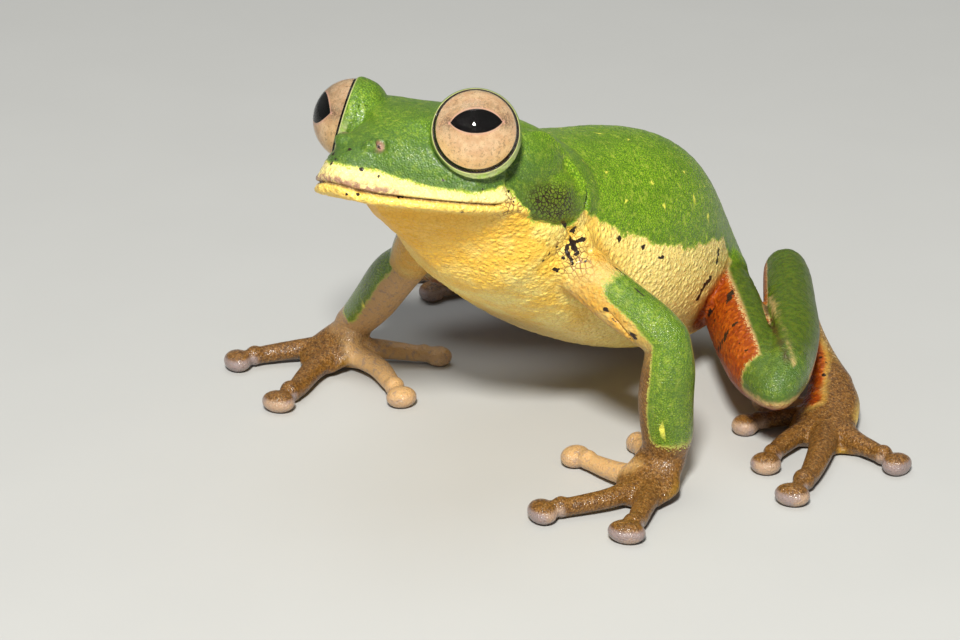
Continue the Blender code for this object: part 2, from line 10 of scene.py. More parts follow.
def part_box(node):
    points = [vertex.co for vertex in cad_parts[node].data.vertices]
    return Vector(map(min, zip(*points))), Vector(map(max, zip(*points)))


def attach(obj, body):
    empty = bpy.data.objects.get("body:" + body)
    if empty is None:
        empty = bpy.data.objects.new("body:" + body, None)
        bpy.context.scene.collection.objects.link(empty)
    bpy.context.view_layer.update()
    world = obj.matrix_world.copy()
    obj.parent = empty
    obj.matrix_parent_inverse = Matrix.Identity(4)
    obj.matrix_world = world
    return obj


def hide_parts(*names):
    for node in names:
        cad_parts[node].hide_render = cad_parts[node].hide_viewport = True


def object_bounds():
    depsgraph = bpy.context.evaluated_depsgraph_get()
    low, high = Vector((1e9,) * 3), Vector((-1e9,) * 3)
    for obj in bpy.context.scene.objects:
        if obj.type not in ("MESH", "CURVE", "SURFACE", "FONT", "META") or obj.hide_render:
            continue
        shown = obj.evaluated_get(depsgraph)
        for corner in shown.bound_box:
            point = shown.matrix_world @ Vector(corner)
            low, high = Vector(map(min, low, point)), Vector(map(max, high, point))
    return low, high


# A tree frog, life size, sitting with raised head.  Sizes are millimetres in the frog's own
# frame: it faces -Y, its left side is +X, +Z is up.  The head has a frame of its own:
# forward, left, up, counted from just ahead of the upper lip.
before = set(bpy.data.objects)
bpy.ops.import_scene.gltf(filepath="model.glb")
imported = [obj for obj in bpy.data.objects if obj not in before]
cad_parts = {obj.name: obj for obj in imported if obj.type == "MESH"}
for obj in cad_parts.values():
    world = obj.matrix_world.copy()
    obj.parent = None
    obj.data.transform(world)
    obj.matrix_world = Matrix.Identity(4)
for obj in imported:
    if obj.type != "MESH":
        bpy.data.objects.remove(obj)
cadBox = [list(corner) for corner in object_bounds()]
mm = 0.001
print("frame loaded")

headPlan = {
    "lipTip": (-0.67, -28.85, 23.20),
    "yaw": -2.8, "pitch": 18.0, "roll": 6.3,
    "nostril": (-3.15, 1.66, 2.70),
    # forward, half width, lip height, top, bottom, narrowing of the top
    "stations": [
        (-1.00, 0.60, 0.05, 0.62, -0.35, 0.25),
        (-1.22, 1.25, 0.05, 1.20, -0.55, 0.28),
        (-1.76, 2.00, 0.00, 1.95, -0.80, 0.28),
        (-2.80, 3.02, -0.10, 2.75, -1.05, 0.30),
        (-4.60, 4.60, -0.15, 3.78, -1.45, 0.33),
        (-6.80, 6.00, -0.15, 4.85, -2.40, 0.33),
        (-9.20, 6.95, -0.25, 5.45, -3.85, 0.31),
        (-11.80, 7.45, -0.20, 5.65, -5.40, 0.27),
        (-14.40, 7.65, 0.00, 5.45, -6.60, 0.22),
        (-17.00, 7.30, 0.10, 4.85, -7.40, 0.16),
        (-19.50, 6.40, 0.00, 3.80, -7.20, 0.10),
        (-21.50, 4.60, -0.80, 2.20, -5.90, 0.05)],
}


def unit(vector):
    return vector / np.linalg.norm(vector)


def makeHeadFrame():
    yaw, pitch, roll = (math.radians(headPlan[key]) for key in ("yaw", "pitch", "roll"))
    level = np.array([math.sin(yaw), -math.cos(yaw), 0.0])
    side = np.array([math.cos(yaw), math.sin(yaw), 0.0])
    lift = np.array([0.0, 0.0, 1.0])
    forward = math.cos(pitch) * level + math.sin(pitch) * lift
    rise = -math.sin(pitch) * level + math.cos(pitch) * lift
    left = math.cos(roll) * side + math.sin(roll) * rise
    up = -math.sin(roll) * side + math.cos(roll) * rise
    return np.array([forward, left, up])


headAxes = makeHeadFrame()
headZero = np.array(headPlan["lipTip"])


def headPoint(forward, left, up):
    return headZero + np.array([forward, left, up]) @ headAxes


def headCoords(points):
    return (points - headZero) @ headAxes.T


eyePlan = {
    "centre": {"left": (-8.1, 5.18, 4.12), "right": (-8.1, -5.04, 3.62)},
    # how far each eye looks forward of sideways, and how far it is raised
    "turn": {"left": (44.0, 16.5), "right": (50.0, 9.0)},
    "mound": (2.15, 2.86, 0.35),        # flesh round the eye: along its axis, across, ahead
    "limbus": (1.10, 2.655),            # edge of the clear part: along the axis, across
    "iris": (1.00, 2.42, 2.62),         # iris along the axis at its rim and middle, rim radius
    "cornea": (0.52, 2.72),             # clear dome: centre along the axis, radius
    "ballBack": [(-0.62, 0.3), (-0.5, 1.2), (-0.2, 1.8), (0.15, 2.2), (0.5, 2.44), (0.8, 2.56)],
    "pupilHalf": {"left": (1.50, 0.73), "right": (1.68, 0.80)},
    "pupilLift": {"left": 0.28, "right": 0.1},
    "pupilTurn": {"left": 9.0, "right": 0.0},
}


def eyeFrame(word):
    sign = 1 if word == "left" else -1
    turn, rise = (math.radians(v) for v in eyePlan["turn"][word])
    axis = np.array([math.cos(rise) * math.cos(turn),
                     sign * math.cos(rise) * math.sin(turn), math.sin(rise)]) @ headAxes
    up = unit(headAxes[2] - axis * (headAxes[2] @ axis))
    return headPoint(*eyePlan["centre"][word]), axis, np.cross(up, axis), up


low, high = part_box("eye_left")
rowShift = np.array((low + high) / 2) / mm - eyeFrame("left")[0]
toRow = Matrix.Translation(Vector(rowShift * mm)) @ Matrix.Scale(mm, 4)


def smooth(low, high, value):
    t = np.clip((value - low) / (high - low), 0.0, 1.0)
    return t * t * (3 - 2 * t)


def bump(distance, width):
    return np.exp(-(distance / width) ** 2)


def curveRows(rows, step, places=3):
    # smooth curve through the rows, a row every step
    pts = [np.array(row, dtype=float) for row in rows]
    ends = [2 * pts[0] - pts[1]] + pts + [2 * pts[-1] - pts[-2]]
    out = []
    for i in range(1, len(ends) - 2):
        a, b, c, d = ends[i - 1:i + 3]
        pieces = max(1, round(float(np.linalg.norm((c - b)[:places])) / step))
        for j in range(pieces):
            t = j / pieces
            out.append(0.5 * (2 * b + (c - a) * t + (2 * a - 5 * b + 4 * c - d) * t * t
                              + (3 * b - a - 3 * c + d) * t ** 3))
    out.append(pts[-1])
    return np.array(out)


def pick(table, value):
    # the height that a line of (distance, height) has at a distance
    keys, heights = zip(*sorted(table))
    return np.interp(value, keys, heights)


def addObject(name, data):
    thing = bpy.data.objects.new(name, data)
    bpy.context.scene.collection.objects.link(thing)
    return thing


def joinTo(bm, form):
    # each form is made on its own and then joined, which is much quicker
    mesh = bpy.data.meshes.new("form")
    bmesh.ops.recalc_face_normals(form, faces=form.faces)
    form.to_mesh(mesh)
    form.free()
    bm.from_mesh(mesh)
    bpy.data.meshes.remove(mesh)


def edgesOf(verts):
    # in a fixed order, so that each run builds the same mesh
    return list(dict.fromkeys(e for v in verts for e in v.link_edges))


def addLoft(whole, rings):
    bm = bmesh.new()
    loops = []
    for ring in rings:
        verts = bmesh.ops.create_circle(bm, segments=len(ring), radius=1.0)["verts"]
        for vert, place in zip(verts, ring):
            vert.co = place
        loops.append((verts, edgesOf(verts)))
    for first, second in zip(loops, loops[1:]):
        bmesh.ops.bridge_loops(bm, edges=first[1] + second[1])
    for verts, edges in (loops[0], loops[-1]):
        bmesh.ops.contextual_create(bm, geom=edges)
    joinTo(whole, bm)


def addBlob(whole, centre, radii, axes=np.eye(3)):
    bm = bmesh.new()
    made = bmesh.ops.create_uvsphere(bm, u_segments=32, v_segments=20, radius=1.0)["verts"]
    turn = Matrix([list(a) for a in axes]).transposed().to_4x4()
    place = Matrix.Translation(Vector(centre)) @ turn @ Matrix.Diagonal((*radii, 1.0))
    bmesh.ops.transform(bm, matrix=place, verts=made)
    joinTo(whole, bm)


def power(value, exponent):
    return np.sign(value) * np.abs(value) ** exponent


# lines along the side of the head: (forward, height)
mouthLine = [(-0.7, 0.08), (-1.6, -0.18), (-2.6, -0.27), (-4.0, -0.25), (-6.5, -0.20),
             (-9.0, -0.08), (-10.6, 0.28)]
lipTop = [(-0.8, 1.25), (-1.6, 1.18), (-2.6, 1.10), (-3.6, 0.88), (-4.6, 0.62), (-6.0, 0.50),
          (-7.6, 0.54), (-8.8, 0.80), (-9.6, 1.10), (-10.4, 0.90)]
lipLow = [(-0.9, -0.50), (-1.7, -0.80), (-2.6, -0.95), (-4.2, -0.88), (-6.4, -0.86),
          (-8.0, -0.70), (-9.6, -0.48), (-11.5, -0.25)]


def headRings(points=80):
    angle = np.arange(points) * 2 * math.pi / points
    c, s = np.cos(angle), np.sin(angle)
    upper = s >= 0
    rings = []
    for along, half, lip, top, bottom, narrow in curveRows(headPlan["stations"], 0.4, 1):
        keen = 1.05 + 0.75 * (smooth(-2.5, -6.0, along) - smooth(-10.0, -14.5, along))
        side = np.where(upper, half * power(c, 0.72) * (1 - narrow * s),
                        half * power(c, keen - 0.05))
        height = lip + np.where(upper, (top - lip) * power(s, 0.85),
                                (lip - bottom) * power(s, keen))
        low = pick(lipLow, along)
        wall = (half - 0.10) * smooth(low - 0.35, low + 0.10, height) * smooth(-12.0, -9.5, along)
        # ahead of the eyes only the lip stands upright, and the snout slopes in above it
        wall = wall * (1 - smooth(0.05, 0.75, height - lip) * smooth(-7.6, -5.0, along))
        side = np.sign(side) * np.maximum(np.abs(side), wall * (np.abs(c) > 0.02))
        local = np.column_stack([np.full(points, along), side, height])
        rings.append(headZero + local @ headAxes)
    return rings


trunkPlan = {
    "roll": 2.6,
    # (y, z) on the back, (y, z) on the belly, half width
    "stations": [
        (-17.6, 23.2, -21.0, 17.6, 4.4), (-15.6, 23.7, -20.2, 16.1, 6.1),
        (-12.4, 22.8, -17.8, 13.7, 7.1), (-9.0, 21.4, -14.9, 10.8, 7.4),
        (-5.3, 20.4, -11.6, 8.2, 7.6), (-1.6, 19.6, -7.9, 6.0, 7.7),
        (1.7, 18.5, -4.0, 4.3, 7.2), (4.2, 16.9, -0.3, 3.2, 6.3),
        (6.1, 14.9, 3.2, 2.5, 5.1), (7.7, 12.5, 6.2, 2.5, 4.0),
        (9.1, 10.1, 8.5, 3.1, 3.2), (10.3, 8.0, 10.2, 4.2, 2.4),
        (11.0, 6.8, 11.0, 5.6, 0.9)],
}


def trunkRings(points=80):
    angle = np.arange(points) * 2 * math.pi / points
    c, s = np.cos(angle)[:, None], np.sin(angle)[:, None]
    roll = math.radians(trunkPlan["roll"])
    across = np.array([[math.cos(roll), 0.0, math.sin(roll)]])
    rings = []
    for backY, backZ, bellyY, bellyZ, half in curveRows(trunkPlan["stations"], 0.5, 4):
        back, belly = np.array([0, backY, backZ]), np.array([0, bellyY, bellyZ])
        keen = 0.90 + 0.75 * smooth(-11.0, -15.5, backY) * (s < 0)
        wide = half * power(c, keen) * (1 - 0.10 * s)
        rings.append((back + belly) / 2 + across * wide + (back - belly) / 2 * power(s, 0.95))
    return rings


# rows of every limb: x, y, z, width, height
limbPlan = {
    "upper_arm_left": [(5.2, -13.0, 15.4, 3.5, 3.7), (7.4, -12.8, 14.4, 3.4, 3.6),
                       (10.0, -12.5, 13.0, 3.2, 3.5), (12.3, -12.0, 11.8, 3.2, 3.3),
                       (13.6, -11.8, 11.1, 3.0, 3.0)],
    "forearm_left": [(13.8, -11.8, 10.9, 2.9, 2.9), (13.8, -11.8, 9.2, 3.4, 3.5),
                     (13.4, -11.6, 6.6, 3.6, 3.7), (13.2, -11.2, 4.0, 3.5, 3.4),
                     (13.0, -11.2, 2.7, 3.3, 2.9)],
    "palm_left": [(13.0, -11.3, 2.4, 3.3, 2.6), (13.1, -12.4, 1.6, 3.9, 2.1),
                  (13.4, -13.4, 1.1, 4.5, 1.8), (13.6, -14.3, 0.85, 3.8, 1.5)],
    "upper_arm_right": [(-4.6, -13.3, 15.6, 3.6, 3.8), (-6.8, -12.6, 14.0, 3.4, 3.6),
                        (-9.0, -11.6, 11.6, 3.2, 3.4), (-10.4, -10.9, 9.9, 3.0, 3.1)],
    "forearm_right": [(-10.3, -10.9, 9.9, 2.9, 2.9), (-12.2, -10.8, 8.2, 3.3, 3.4),
                      (-14.4, -10.4, 5.7, 3.2, 3.2), (-16.3, -10.0, 3.8, 2.8, 2.8),
                      (-17.2, -10.0, 2.9, 2.7, 2.6)],
    "palm_right": [(-17.0, -10.0, 2.7, 2.8, 2.4), (-17.4, -11.0, 1.9, 3.9, 2.1),
                   (-17.5, -12.0, 1.3, 4.5, 1.8), (-17.5, -12.9, 0.95, 3.8, 1.5)],
    "thigh_left": [(2.6, 7.4, 6.2, 3.6, 4.6), (5.4, 5.0, 5.7, 4.0, 5.4),
                   (9.0, 1.9, 5.5, 4.1, 5.4), (12.5, -1.1, 5.4, 3.9, 4.5),
                   (15.1, -2.8, 5.3, 3.3, 3.3), (16.0, -3.3, 5.3, 2.9, 2.8)],
    "shank_left": [(16.0, -2.9, 5.5, 3.0, 2.9), (15.0, -0.8, 5.9, 3.4, 3.7),
                   (11.9, 3.5, 6.0, 3.9, 4.0), (8.6, 7.5, 5.9, 3.7, 3.8),
                   (5.8, 10.8, 5.8, 3.5, 3.6), (4.2, 12.6, 5.7, 3.2, 3.4)],
    "tarsus_left": [(4.6, 13.0, 4.9, 2.6, 2.5), (6.4, 11.3, 4.0, 2.4, 2.3),
                    (8.9, 9.2, 3.2, 2.4, 2.2), (11.5, 7.3, 2.5, 2.6, 2.2),
                    (13.7, 5.8, 2.0, 3.1, 2.1)],
    "sole_left": [(13.7, 5.8, 1.9, 3.1, 2.0), (15.0, 4.2, 1.5, 3.9, 2.0),
                  (15.9, 2.4, 1.15, 4.4, 1.8), (16.6, 0.8, 0.9, 4.4, 1.5)],
    "thigh_right": [(-2.6, 7.6, 6.2, 3.6, 4.6), (-5.6, 5.4, 5.7, 4.0, 5.4),
                    (-9.2, 2.7, 5.5, 4.1, 5.4), (-12.7, 0.1, 5.4, 3.9, 4.5),
                    (-15.3, -1.5, 5.3, 3.3, 3.3), (-16.2, -2.0, 5.3, 2.9, 2.8)],
    "shank_right": [(-16.3, -1.6, 5.4, 3.2, 3.4), (-15.1, 0.6, 5.9, 3.6, 3.8),
                    (-12.3, 4.9, 5.9, 3.9, 4.0), (-9.3, 9.0, 5.7, 3.6, 3.7),
                    (-6.8, 12.2, 5.5, 3.3, 3.4), (-5.5, 13.8, 5.3, 3.0, 3.2)],
    "tarsus_right": [(-6.0, 14.4, 4.7, 2.5, 2.5), (-8.2, 14.1, 3.8, 2.4, 2.3),
                     (-10.8, 13.3, 3.0, 2.5, 2.2), (-13.3, 12.0, 2.4, 2.8, 2.2),
                     (-15.3, 10.7, 2.0, 3.2, 2.1)],
    "sole_right": [(-15.3, 10.7, 1.9, 3.2, 2.0), (-16.7, 9.4, 1.5, 3.9, 2.0),
                   (-18.0, 8.1, 1.15, 4.4, 1.8), (-19.2, 7.1, 0.9, 4.4, 1.5)],
}


def limbFrames(path):
    tangents = np.gradient(path[:, :3], axis=0)
    tangents /= np.linalg.norm(tangents, axis=1)[:, None]
    frames = []
    for tangent in tangents:
        flat = np.cross(np.array([0, 0, 1.0]), tangent)
        if np.linalg.norm(flat) < 0.35:
            flat = flat + np.array([0.5, 0.0, 0.0])
        flat = unit(flat - tangent * (flat @ tangent))
        frames.append((tangent, flat, np.cross(tangent, flat)))
    return frames


def addLimb(bm, rows, points=20, step=0.4):
    path = curveRows(rows, step)
    frames = limbFrames(path)
    angle = np.arange(points) * 2 * math.pi / points
    rings = []

    def ring(row, axes, ahead, share):
        half = row[3:5] / 2
        centre = row[:3] + axes[0] * ahead * half.mean()
        rings.append(centre + share * (np.outer(np.cos(angle) * half[0], axes[1])
                                       + np.outer(np.sin(angle) * half[1], axes[2])))

    roundings = [math.radians(v) for v in (80, 62, 44, 22)]
    for a in roundings:
        ring(path[0], frames[0], -math.sin(a), math.cos(a))
    for row, axes in zip(path, frames):
        ring(row, axes, 0.0, 1.0)
    for a in reversed(roundings):
        ring(path[-1], frames[-1], math.sin(a), math.cos(a))
    addLoft(bm, rings)


# fingers and toes, shaft rows first, the last row is the pad
digitPlan = {
    "finger_1_left": [(12.2, -11.9, 1.3, 1.6, 1.5), (10.6, -10.3, 0.95, 1.35, 1.3),
                      (9.3, -9.1, 0.75, 1.15, 1.15), (8.1, -8.1, 0.62, 1.75, 1.4)],
    "finger_2_left": [(12.4, -12.9, 1.1, 1.9, 1.6), (10.2, -12.95, 0.9, 1.6, 1.35),
                      (8.2, -12.75, 0.78, 1.3, 1.2), (6.4, -12.6, 0.68, 2.2, 1.55)],
    "finger_3_left": [(13.2, -13.6, 1.05, 1.9, 1.6), (12.6, -16.2, 0.9, 1.55, 1.3),
                      (11.3, -18.6, 0.75, 1.35, 1.2), (10.35, -20.3, 0.68, 2.6, 1.55)],
    "finger_4_left": [(14.0, -13.6, 1.05, 1.8, 1.6), (15.1, -15.8, 0.9, 1.5, 1.3),
                      (15.9, -17.4, 0.75, 1.35, 1.2), (16.35, -18.9, 0.68, 2.6, 1.55)],
    "finger_1_right": [(-16.9, -10.6, 1.4, 1.8, 1.6), (-15.0, -8.7, 1.05, 1.6, 1.35),
                       (-13.4, -7.5, 0.85, 1.25, 1.2), (-12.1, -6.5, 0.66, 1.75, 1.4)],
    "finger_2_right": [(-16.6, -11.2, 1.3, 2.0, 1.6), (-13.7, -11.2, 0.95, 1.7, 1.35),
                       (-11.2, -12.3, 0.78, 1.35, 1.2), (-9.1, -13.4, 0.68, 2.2, 1.55)],
    "finger_3_right": [(-17.1, -12.1, 1.15, 2.1, 1.7), (-16.6, -14.7, 0.95, 1.75, 1.4),
                       (-15.5, -17.3, 0.78, 1.5, 1.25), (-15.0, -19.6, 0.68, 2.5, 1.55)],
    "finger_4_right": [(-18.1, -11.2, 1.3, 1.9, 1.7), (-20.0, -12.8, 1.0, 1.6, 1.4),
                       (-21.5, -14.8, 0.8, 1.35, 1.25), (-22.3, -16.6, 0.68, 2.4, 1.55)],
    "toe_1_left": [(14.9, 3.9, 1.1, 1.5, 1.3), (13.2, 3.7, 0.9, 1.3, 1.2),
                   (11.6, 3.3, 0.75, 1.1, 1.1), (10.4, 2.7, 0.62, 1.6, 1.35)],
    "toe_2_left": [(15.3, 2.9, 1.15, 1.7, 1.5), (13.6, 1.9, 0.9, 1.4, 1.3),
                   (12.4, 0.3, 0.76, 1.2, 1.15), (11.7, -1.1, 0.64, 1.9, 1.45)],
    "toe_3_left": [(15.9, 2.0, 1.1, 1.9, 1.6), (15.8, -1.0, 0.95, 1.6, 1.35),
                   (16.0, -3.1, 0.78, 1.3, 1.2), (16.6, -5.0, 0.66, 2.15, 1.5)],
    "toe_4_left": [(16.7, 1.4, 1.1, 2.1, 1.6), (18.5, -1.5, 0.98, 1.8, 1.45),
                   (20.0, -4.6, 0.8, 1.45, 1.25), (20.9, -7.6, 0.68, 2.45, 1.55)],
    "toe_5_left": [(16.9, 2.2, 1.15, 2.0, 1.6), (19.1, 1.3, 0.95, 1.6, 1.35),
                   (21.1, 1.1, 0.78, 1.3, 1.2), (23.2, 0.7, 0.66, 2.15, 1.5)],
    "toe_1_right": [(-16.4, 9.1, 1.1, 1.5, 1.3), (-14.8, 8.6, 0.9, 1.3, 1.2),
                    (-13.2, 7.9, 0.75, 1.1, 1.1), (-12.1, 7.1, 0.62, 1.6, 1.35)],
    "toe_2_right": [(-17.0, 8.5, 1.15, 1.7, 1.5), (-15.9, 6.9, 0.9, 1.4, 1.3),
                    (-15.2, 5.2, 0.76, 1.2, 1.15), (-14.9, 3.7, 0.64, 1.9, 1.45)],
    "toe_3_right": [(-18.0, 7.9, 1.1, 1.9, 1.6), (-19.0, 5.4, 0.95, 1.6, 1.35),
                    (-19.9, 3.7, 0.78, 1.3, 1.2), (-20.8, 1.9, 0.66, 2.15, 1.5)],
    "toe_4_right": [(-18.8, 7.6, 1.1, 2.1, 1.6), (-21.4, 5.7, 0.98, 1.8, 1.45),
                    (-23.9, 3.5, 0.8, 1.45, 1.25), (-25.5, 1.0, 0.68, 2.45, 1.55)],
    "toe_5_right": [(-18.8, 8.4, 1.15, 2.0, 1.6), (-21.1, 8.6, 0.95, 1.6, 1.35),
                    (-23.0, 9.2, 0.78, 1.3, 1.2), (-24.9, 9.4, 0.66, 2.15, 1.5)],
}
padPlan = {"length": 0.98, "height": 0.74}


def padFrame(rows):
    tangent = np.array(rows[-1][:3]) - np.array(rows[-2][:3])
    tangent = unit(tangent * np.array([1, 1, 0.3]))
    side = unit(np.cross(np.array([0, 0, 1.0]), tangent))
    return tangent, side, np.cross(tangent, side)


def addDigit(bm, rows):
    last, before = np.array(rows[-1]), np.array(rows[-2])
    neck = before + (last - before) * 0.62
    neck[3:5] = before[3] * 0.80, before[4] * 0.86
    inside = last.copy()
    inside[3:5] = neck[3:5]
    addLimb(bm, [*rows[:-1], tuple(neck), tuple(inside)], 16, 0.3)
    knob = before + (last - before) * 0.34
    addBlob(bm, knob[:3] + np.array([0, 0, 0.10]), [before[3] * 0.53] * 3)
    addBlob(bm, last[:3], (padPlan["length"], last[3] / 2, padPlan["height"]),
            padFrame(rows))


# web between two digits: how far along it reaches, how deep its free edge is drawn in
webPlan = {
    ("toe_1", "toe_2"): (0.34, 0.35), ("toe_2", "toe_3"): (0.46, 0.40),
    ("toe_3", "toe_4"): (0.46, 0.40), ("toe_4", "toe_5"): (0.62, 0.42),
    ("finger_3", "finger_4"): (0.30, 0.45), ("finger_2", "finger_3"): (0.22, 0.50),
}


def addWeb(whole, first, second, reach, depth):
    bm = bmesh.new()
    a, b = curveRows(first[:-1], 0.4), curveRows(second[:-1], 0.4)
    grid = bmesh.ops.create_grid(bm, x_segments=12, y_segments=12, size=0.5)["verts"]
    for vert in grid:
        across, along = vert.co.x + 0.5, vert.co.y + 0.5
        far = (1.4 * reach) * (1 - depth * 4 * across * (1 - across))
        place = []
        for path in (a, b):
            spot = along * far * (len(path) - 1)
            low = min(int(spot), len(path) - 2)
            place.append(path[low] + (path[low + 1] - path[low]) * (spot - low))
        point = place[0] * (1 - across) + place[1] * across
        vert.co = Vector((point[0], point[1], point[2] * 0.5 + 0.12))
    bmesh.ops.solidify(bm, geom=bm.faces, thickness=0.42)
    joinTo(whole, bm)


skinPlan = {
    "voxel": 0.125,
    "soften": 7,                        # smoothing rounds over the whole skin
    "triangles": 128000,
    "ease": 0.5,                        # how far in the ends start to be held back
}

# soft forms under the skin: (place, radii) in the head's frame, then in the frog's own
headForms = [
    ((-13.0, 4.7, 2.5), (3.3, 2.5, 2.3)),     # temple behind the eye
    ((-14.6, 5.4, 0.6), (2.5, 2.2, 2.4)),     # jaw muscle
    ((-3.3, 1.25, 2.55), (0.95, 0.62, 0.55)),  # nostril hills
]
bodyForms = [
    ((4.6, -13.2, 15.9), (3.4, 2.6, 3.0)), ((-4.4, -13.4, 16.0), (3.4, 2.6, 3.0)),
    ((3.0, 5.8, 6.9), (2.4, 2.8, 2.8)), ((-3.0, 6.0, 6.9), (2.4, 2.8, 2.8)),
]


def growFlesh():
    # closed forms that overlap, melted into one even skin
    bm = bmesh.new()
    addLoft(bm, headRings())
    addLoft(bm, trunkRings())
    for word, sign in (("left", 1), ("right", -1)):
        centre, axis, side, up = eyeFrame(word)
        deep, wide, ahead = eyePlan["mound"]
        addBlob(bm, centre + axis * ahead, (deep, wide, wide), (axis, side, up))
        for (forward, left, up), radii in headForms:
            addBlob(bm, headPoint(forward, sign * left, up), radii, headAxes)
        for (first, second), (reach, depth) in webPlan.items():
            addWeb(bm, digitPlan[first + "_" + word], digitPlan[second + "_" + word],
                   reach, depth)
    for place, radii in bodyForms:
        addBlob(bm, place, radii)
    for rows in limbPlan.values():
        addLimb(bm, rows)
    for rows in digitPlan.values():
        addDigit(bm, rows)
    mesh = bpy.data.meshes.new("frogSkin")
    bm.to_mesh(mesh)
    bm.free()
    skin = addObject("frogSkin", mesh)
    grow = skin.modifiers.new("grow", "REMESH")
    grow.mode, grow.voxel_size = "VOXEL", skinPlan["voxel"]
    ease = skin.modifiers.new("ease", "SMOOTH")
    ease.factor, ease.iterations = 0.5, skinPlan["soften"]
    applyModifiers(skin)
    return skin


def applyModifiers(thing):
    graph = bpy.context.evaluated_depsgraph_get()
    mesh = bpy.data.meshes.new_from_object(thing.evaluated_get(graph))
    thing.modifiers.clear()
    old, thing.data = thing.data, mesh
    bpy.data.meshes.remove(old)


def readPoints(mesh):
    values = np.empty(len(mesh.vertices) * 3)
    mesh.vertices.foreach_get("co", values)
    return values.reshape(-1, 3)


def readNormals(mesh):
    values = np.empty(len(mesh.vertices) * 3)
    mesh.vertex_normals.foreach_get("vector", values)
    return values.reshape(-1, 3)


def writePoints(mesh, points):
    mesh.vertices.foreach_set("co", points.ravel())
    mesh.update()


def nearPath(points, rows, step=0.35, margin=2.6):
    # distance from a limb's middle line in its own radii, share along it, nearest row
    path = curveRows(rows, step)
    size = path[:, 3:5].mean(axis=1) / 2
    best = np.full(len(points), 99.0)
    spot = np.zeros(len(points), dtype=int)
    reach = size.max() * margin
    lowest, highest = path[:, :3].min(axis=0) - reach, path[:, :3].max(axis=0) + reach
    inside = np.flatnonzero(np.all((points > lowest) & (points < highest), axis=1))
    near, nearSpot = best[inside], spot[inside]
    for k, row in enumerate(path):
        away = np.linalg.norm(points[inside] - row[:3], axis=1) / size[k]
        closer = away < near
        near[closer], nearSpot[closer] = away[closer], k
    best[inside], spot[inside] = near, nearSpot
    return best, spot / (len(path) - 1), path[spot, :3]


def nearLine(points, line, reach):
    # distance from a smooth line through a few points, and the share along it
    path = curveRows(line, 0.15)
    best = np.full(len(points), 99.0)
    share = np.zeros(len(points))
    lowest, highest = path.min(axis=0) - reach, path.max(axis=0) + reach
    inside = np.flatnonzero(np.all((points > lowest) & (points < highest), axis=1))
    if not len(inside):
        return best, share
    near, spot = best[inside], share[inside]
    for k, place in enumerate(path):
        away = np.linalg.norm(points[inside] - place, axis=1)
        closer = away < near
        near[closer], spot[closer] = away[closer], k / (len(path) - 1)
    best[inside], share[inside] = near, spot
    return best, share


def nostrilPlaces(mesh):
    # the middle of each nostril, on the skin
    tree = treeOf(mesh)
    f, l, u = headPlan["nostril"]
    return [np.array(tree.find_nearest(Vector(headPoint(f, sign * l, u)))[0]) for sign in (1, -1)]


def shapeHead(points, normals, nostrils):
    # how far the skin is raised on lips, cheeks and nostrils
    f, l, u = headCoords(points).T
    side = np.abs(l)
    mouth = pick(mouthLine, f)
    low = pick(lipLow, f)
    front = smooth(-10.9, -9.2, f) * (f < 0.5) * (np.abs(u) < 5)
    outer = smooth(-0.2, 0.35, np.abs(normals @ headAxes[1]) + np.clip(normals @ headAxes[0], 0, 1))
    reach = front * outer
    rise = -0.26 * reach * bump(u - mouth, 0.085)                 # the closed mouth
    rise += 0.13 * reach * bump(u - mouth - 0.34, 0.24)           # upper lip hangs over it
    rise += 0.17 * reach * bump(u - mouth + 0.42, 0.27)           # roll of the lower lip
    recess = smooth(-12.5, -8.5, f)
    rise -= 0.42 * recess * reach * bump(u - low + 0.62, 0.42)    # throat set back under it
    rise -= 0.30 * bump(f + 4.3, 1.9) * bump(u - 1.9, 0.85) * smooth(1.6, 2.6, side)
    rise += 0.34 * bump(f + 13.6, 2.3) * bump(u - 0.3, 1.4) * smooth(3.5, 5.5, side)
    for place in nostrils:
        away = np.linalg.norm(points - place, axis=1)
        rise += 0.16 * bump(away - 0.38, 0.17) - 0.36 * bump(away, 0.18)
    return rise


def creases(points, table):
    rise = np.zeros(len(points))
    for line, width, depth in table:
        away, share = nearLine(points, line, width * 3)
        fade = smooth(0.0, 0.12, share) * smooth(1.0, 0.88, share)
        rise -= depth * bump(away, width) * fade
    return rise


def headLine(*rows):
    return [tuple(headPoint(*row)) for row in rows]


def mirrored(line):
    return [(-x, y, z) for x, y, z in line]


# line, half width, depth: a negative depth is a ridge
headFolds = [
    ([(-3.2, 1.6, 2.95), (-4.3, 2.2, 3.45), (-5.6, 3.2, 4.2)], 0.40, -0.14),
    ([(-11.2, 6.1, 5.0), (-13.2, 5.9, 4.7), (-14.9, 5.8, 3.9), (-16.2, 6.2, 2.8),
      (-16.9, 6.9, 1.6), (-16.9, 7.3, 0.4)], 0.34, -0.32),
    ([(-13.4, 5.6, 4.5), (-15.2, 5.5, 3.7), (-16.7, 6.0, 2.5), (-17.3, 6.8, 1.2),
      (-17.2, 7.3, -0.3)], 0.20, 0.50),
    ([(-10.8, 6.6, 1.7), (-12.4, 6.6, 2.3), (-13.8, 6.4, 3.0)], 0.16, 0.10),
    ([(-9.8, 7.0, -0.5), (-12.0, 7.3, -0.9), (-14.6, 7.4, -1.0), (-16.6, 7.2, -0.6)], 0.22, 0.26),
]
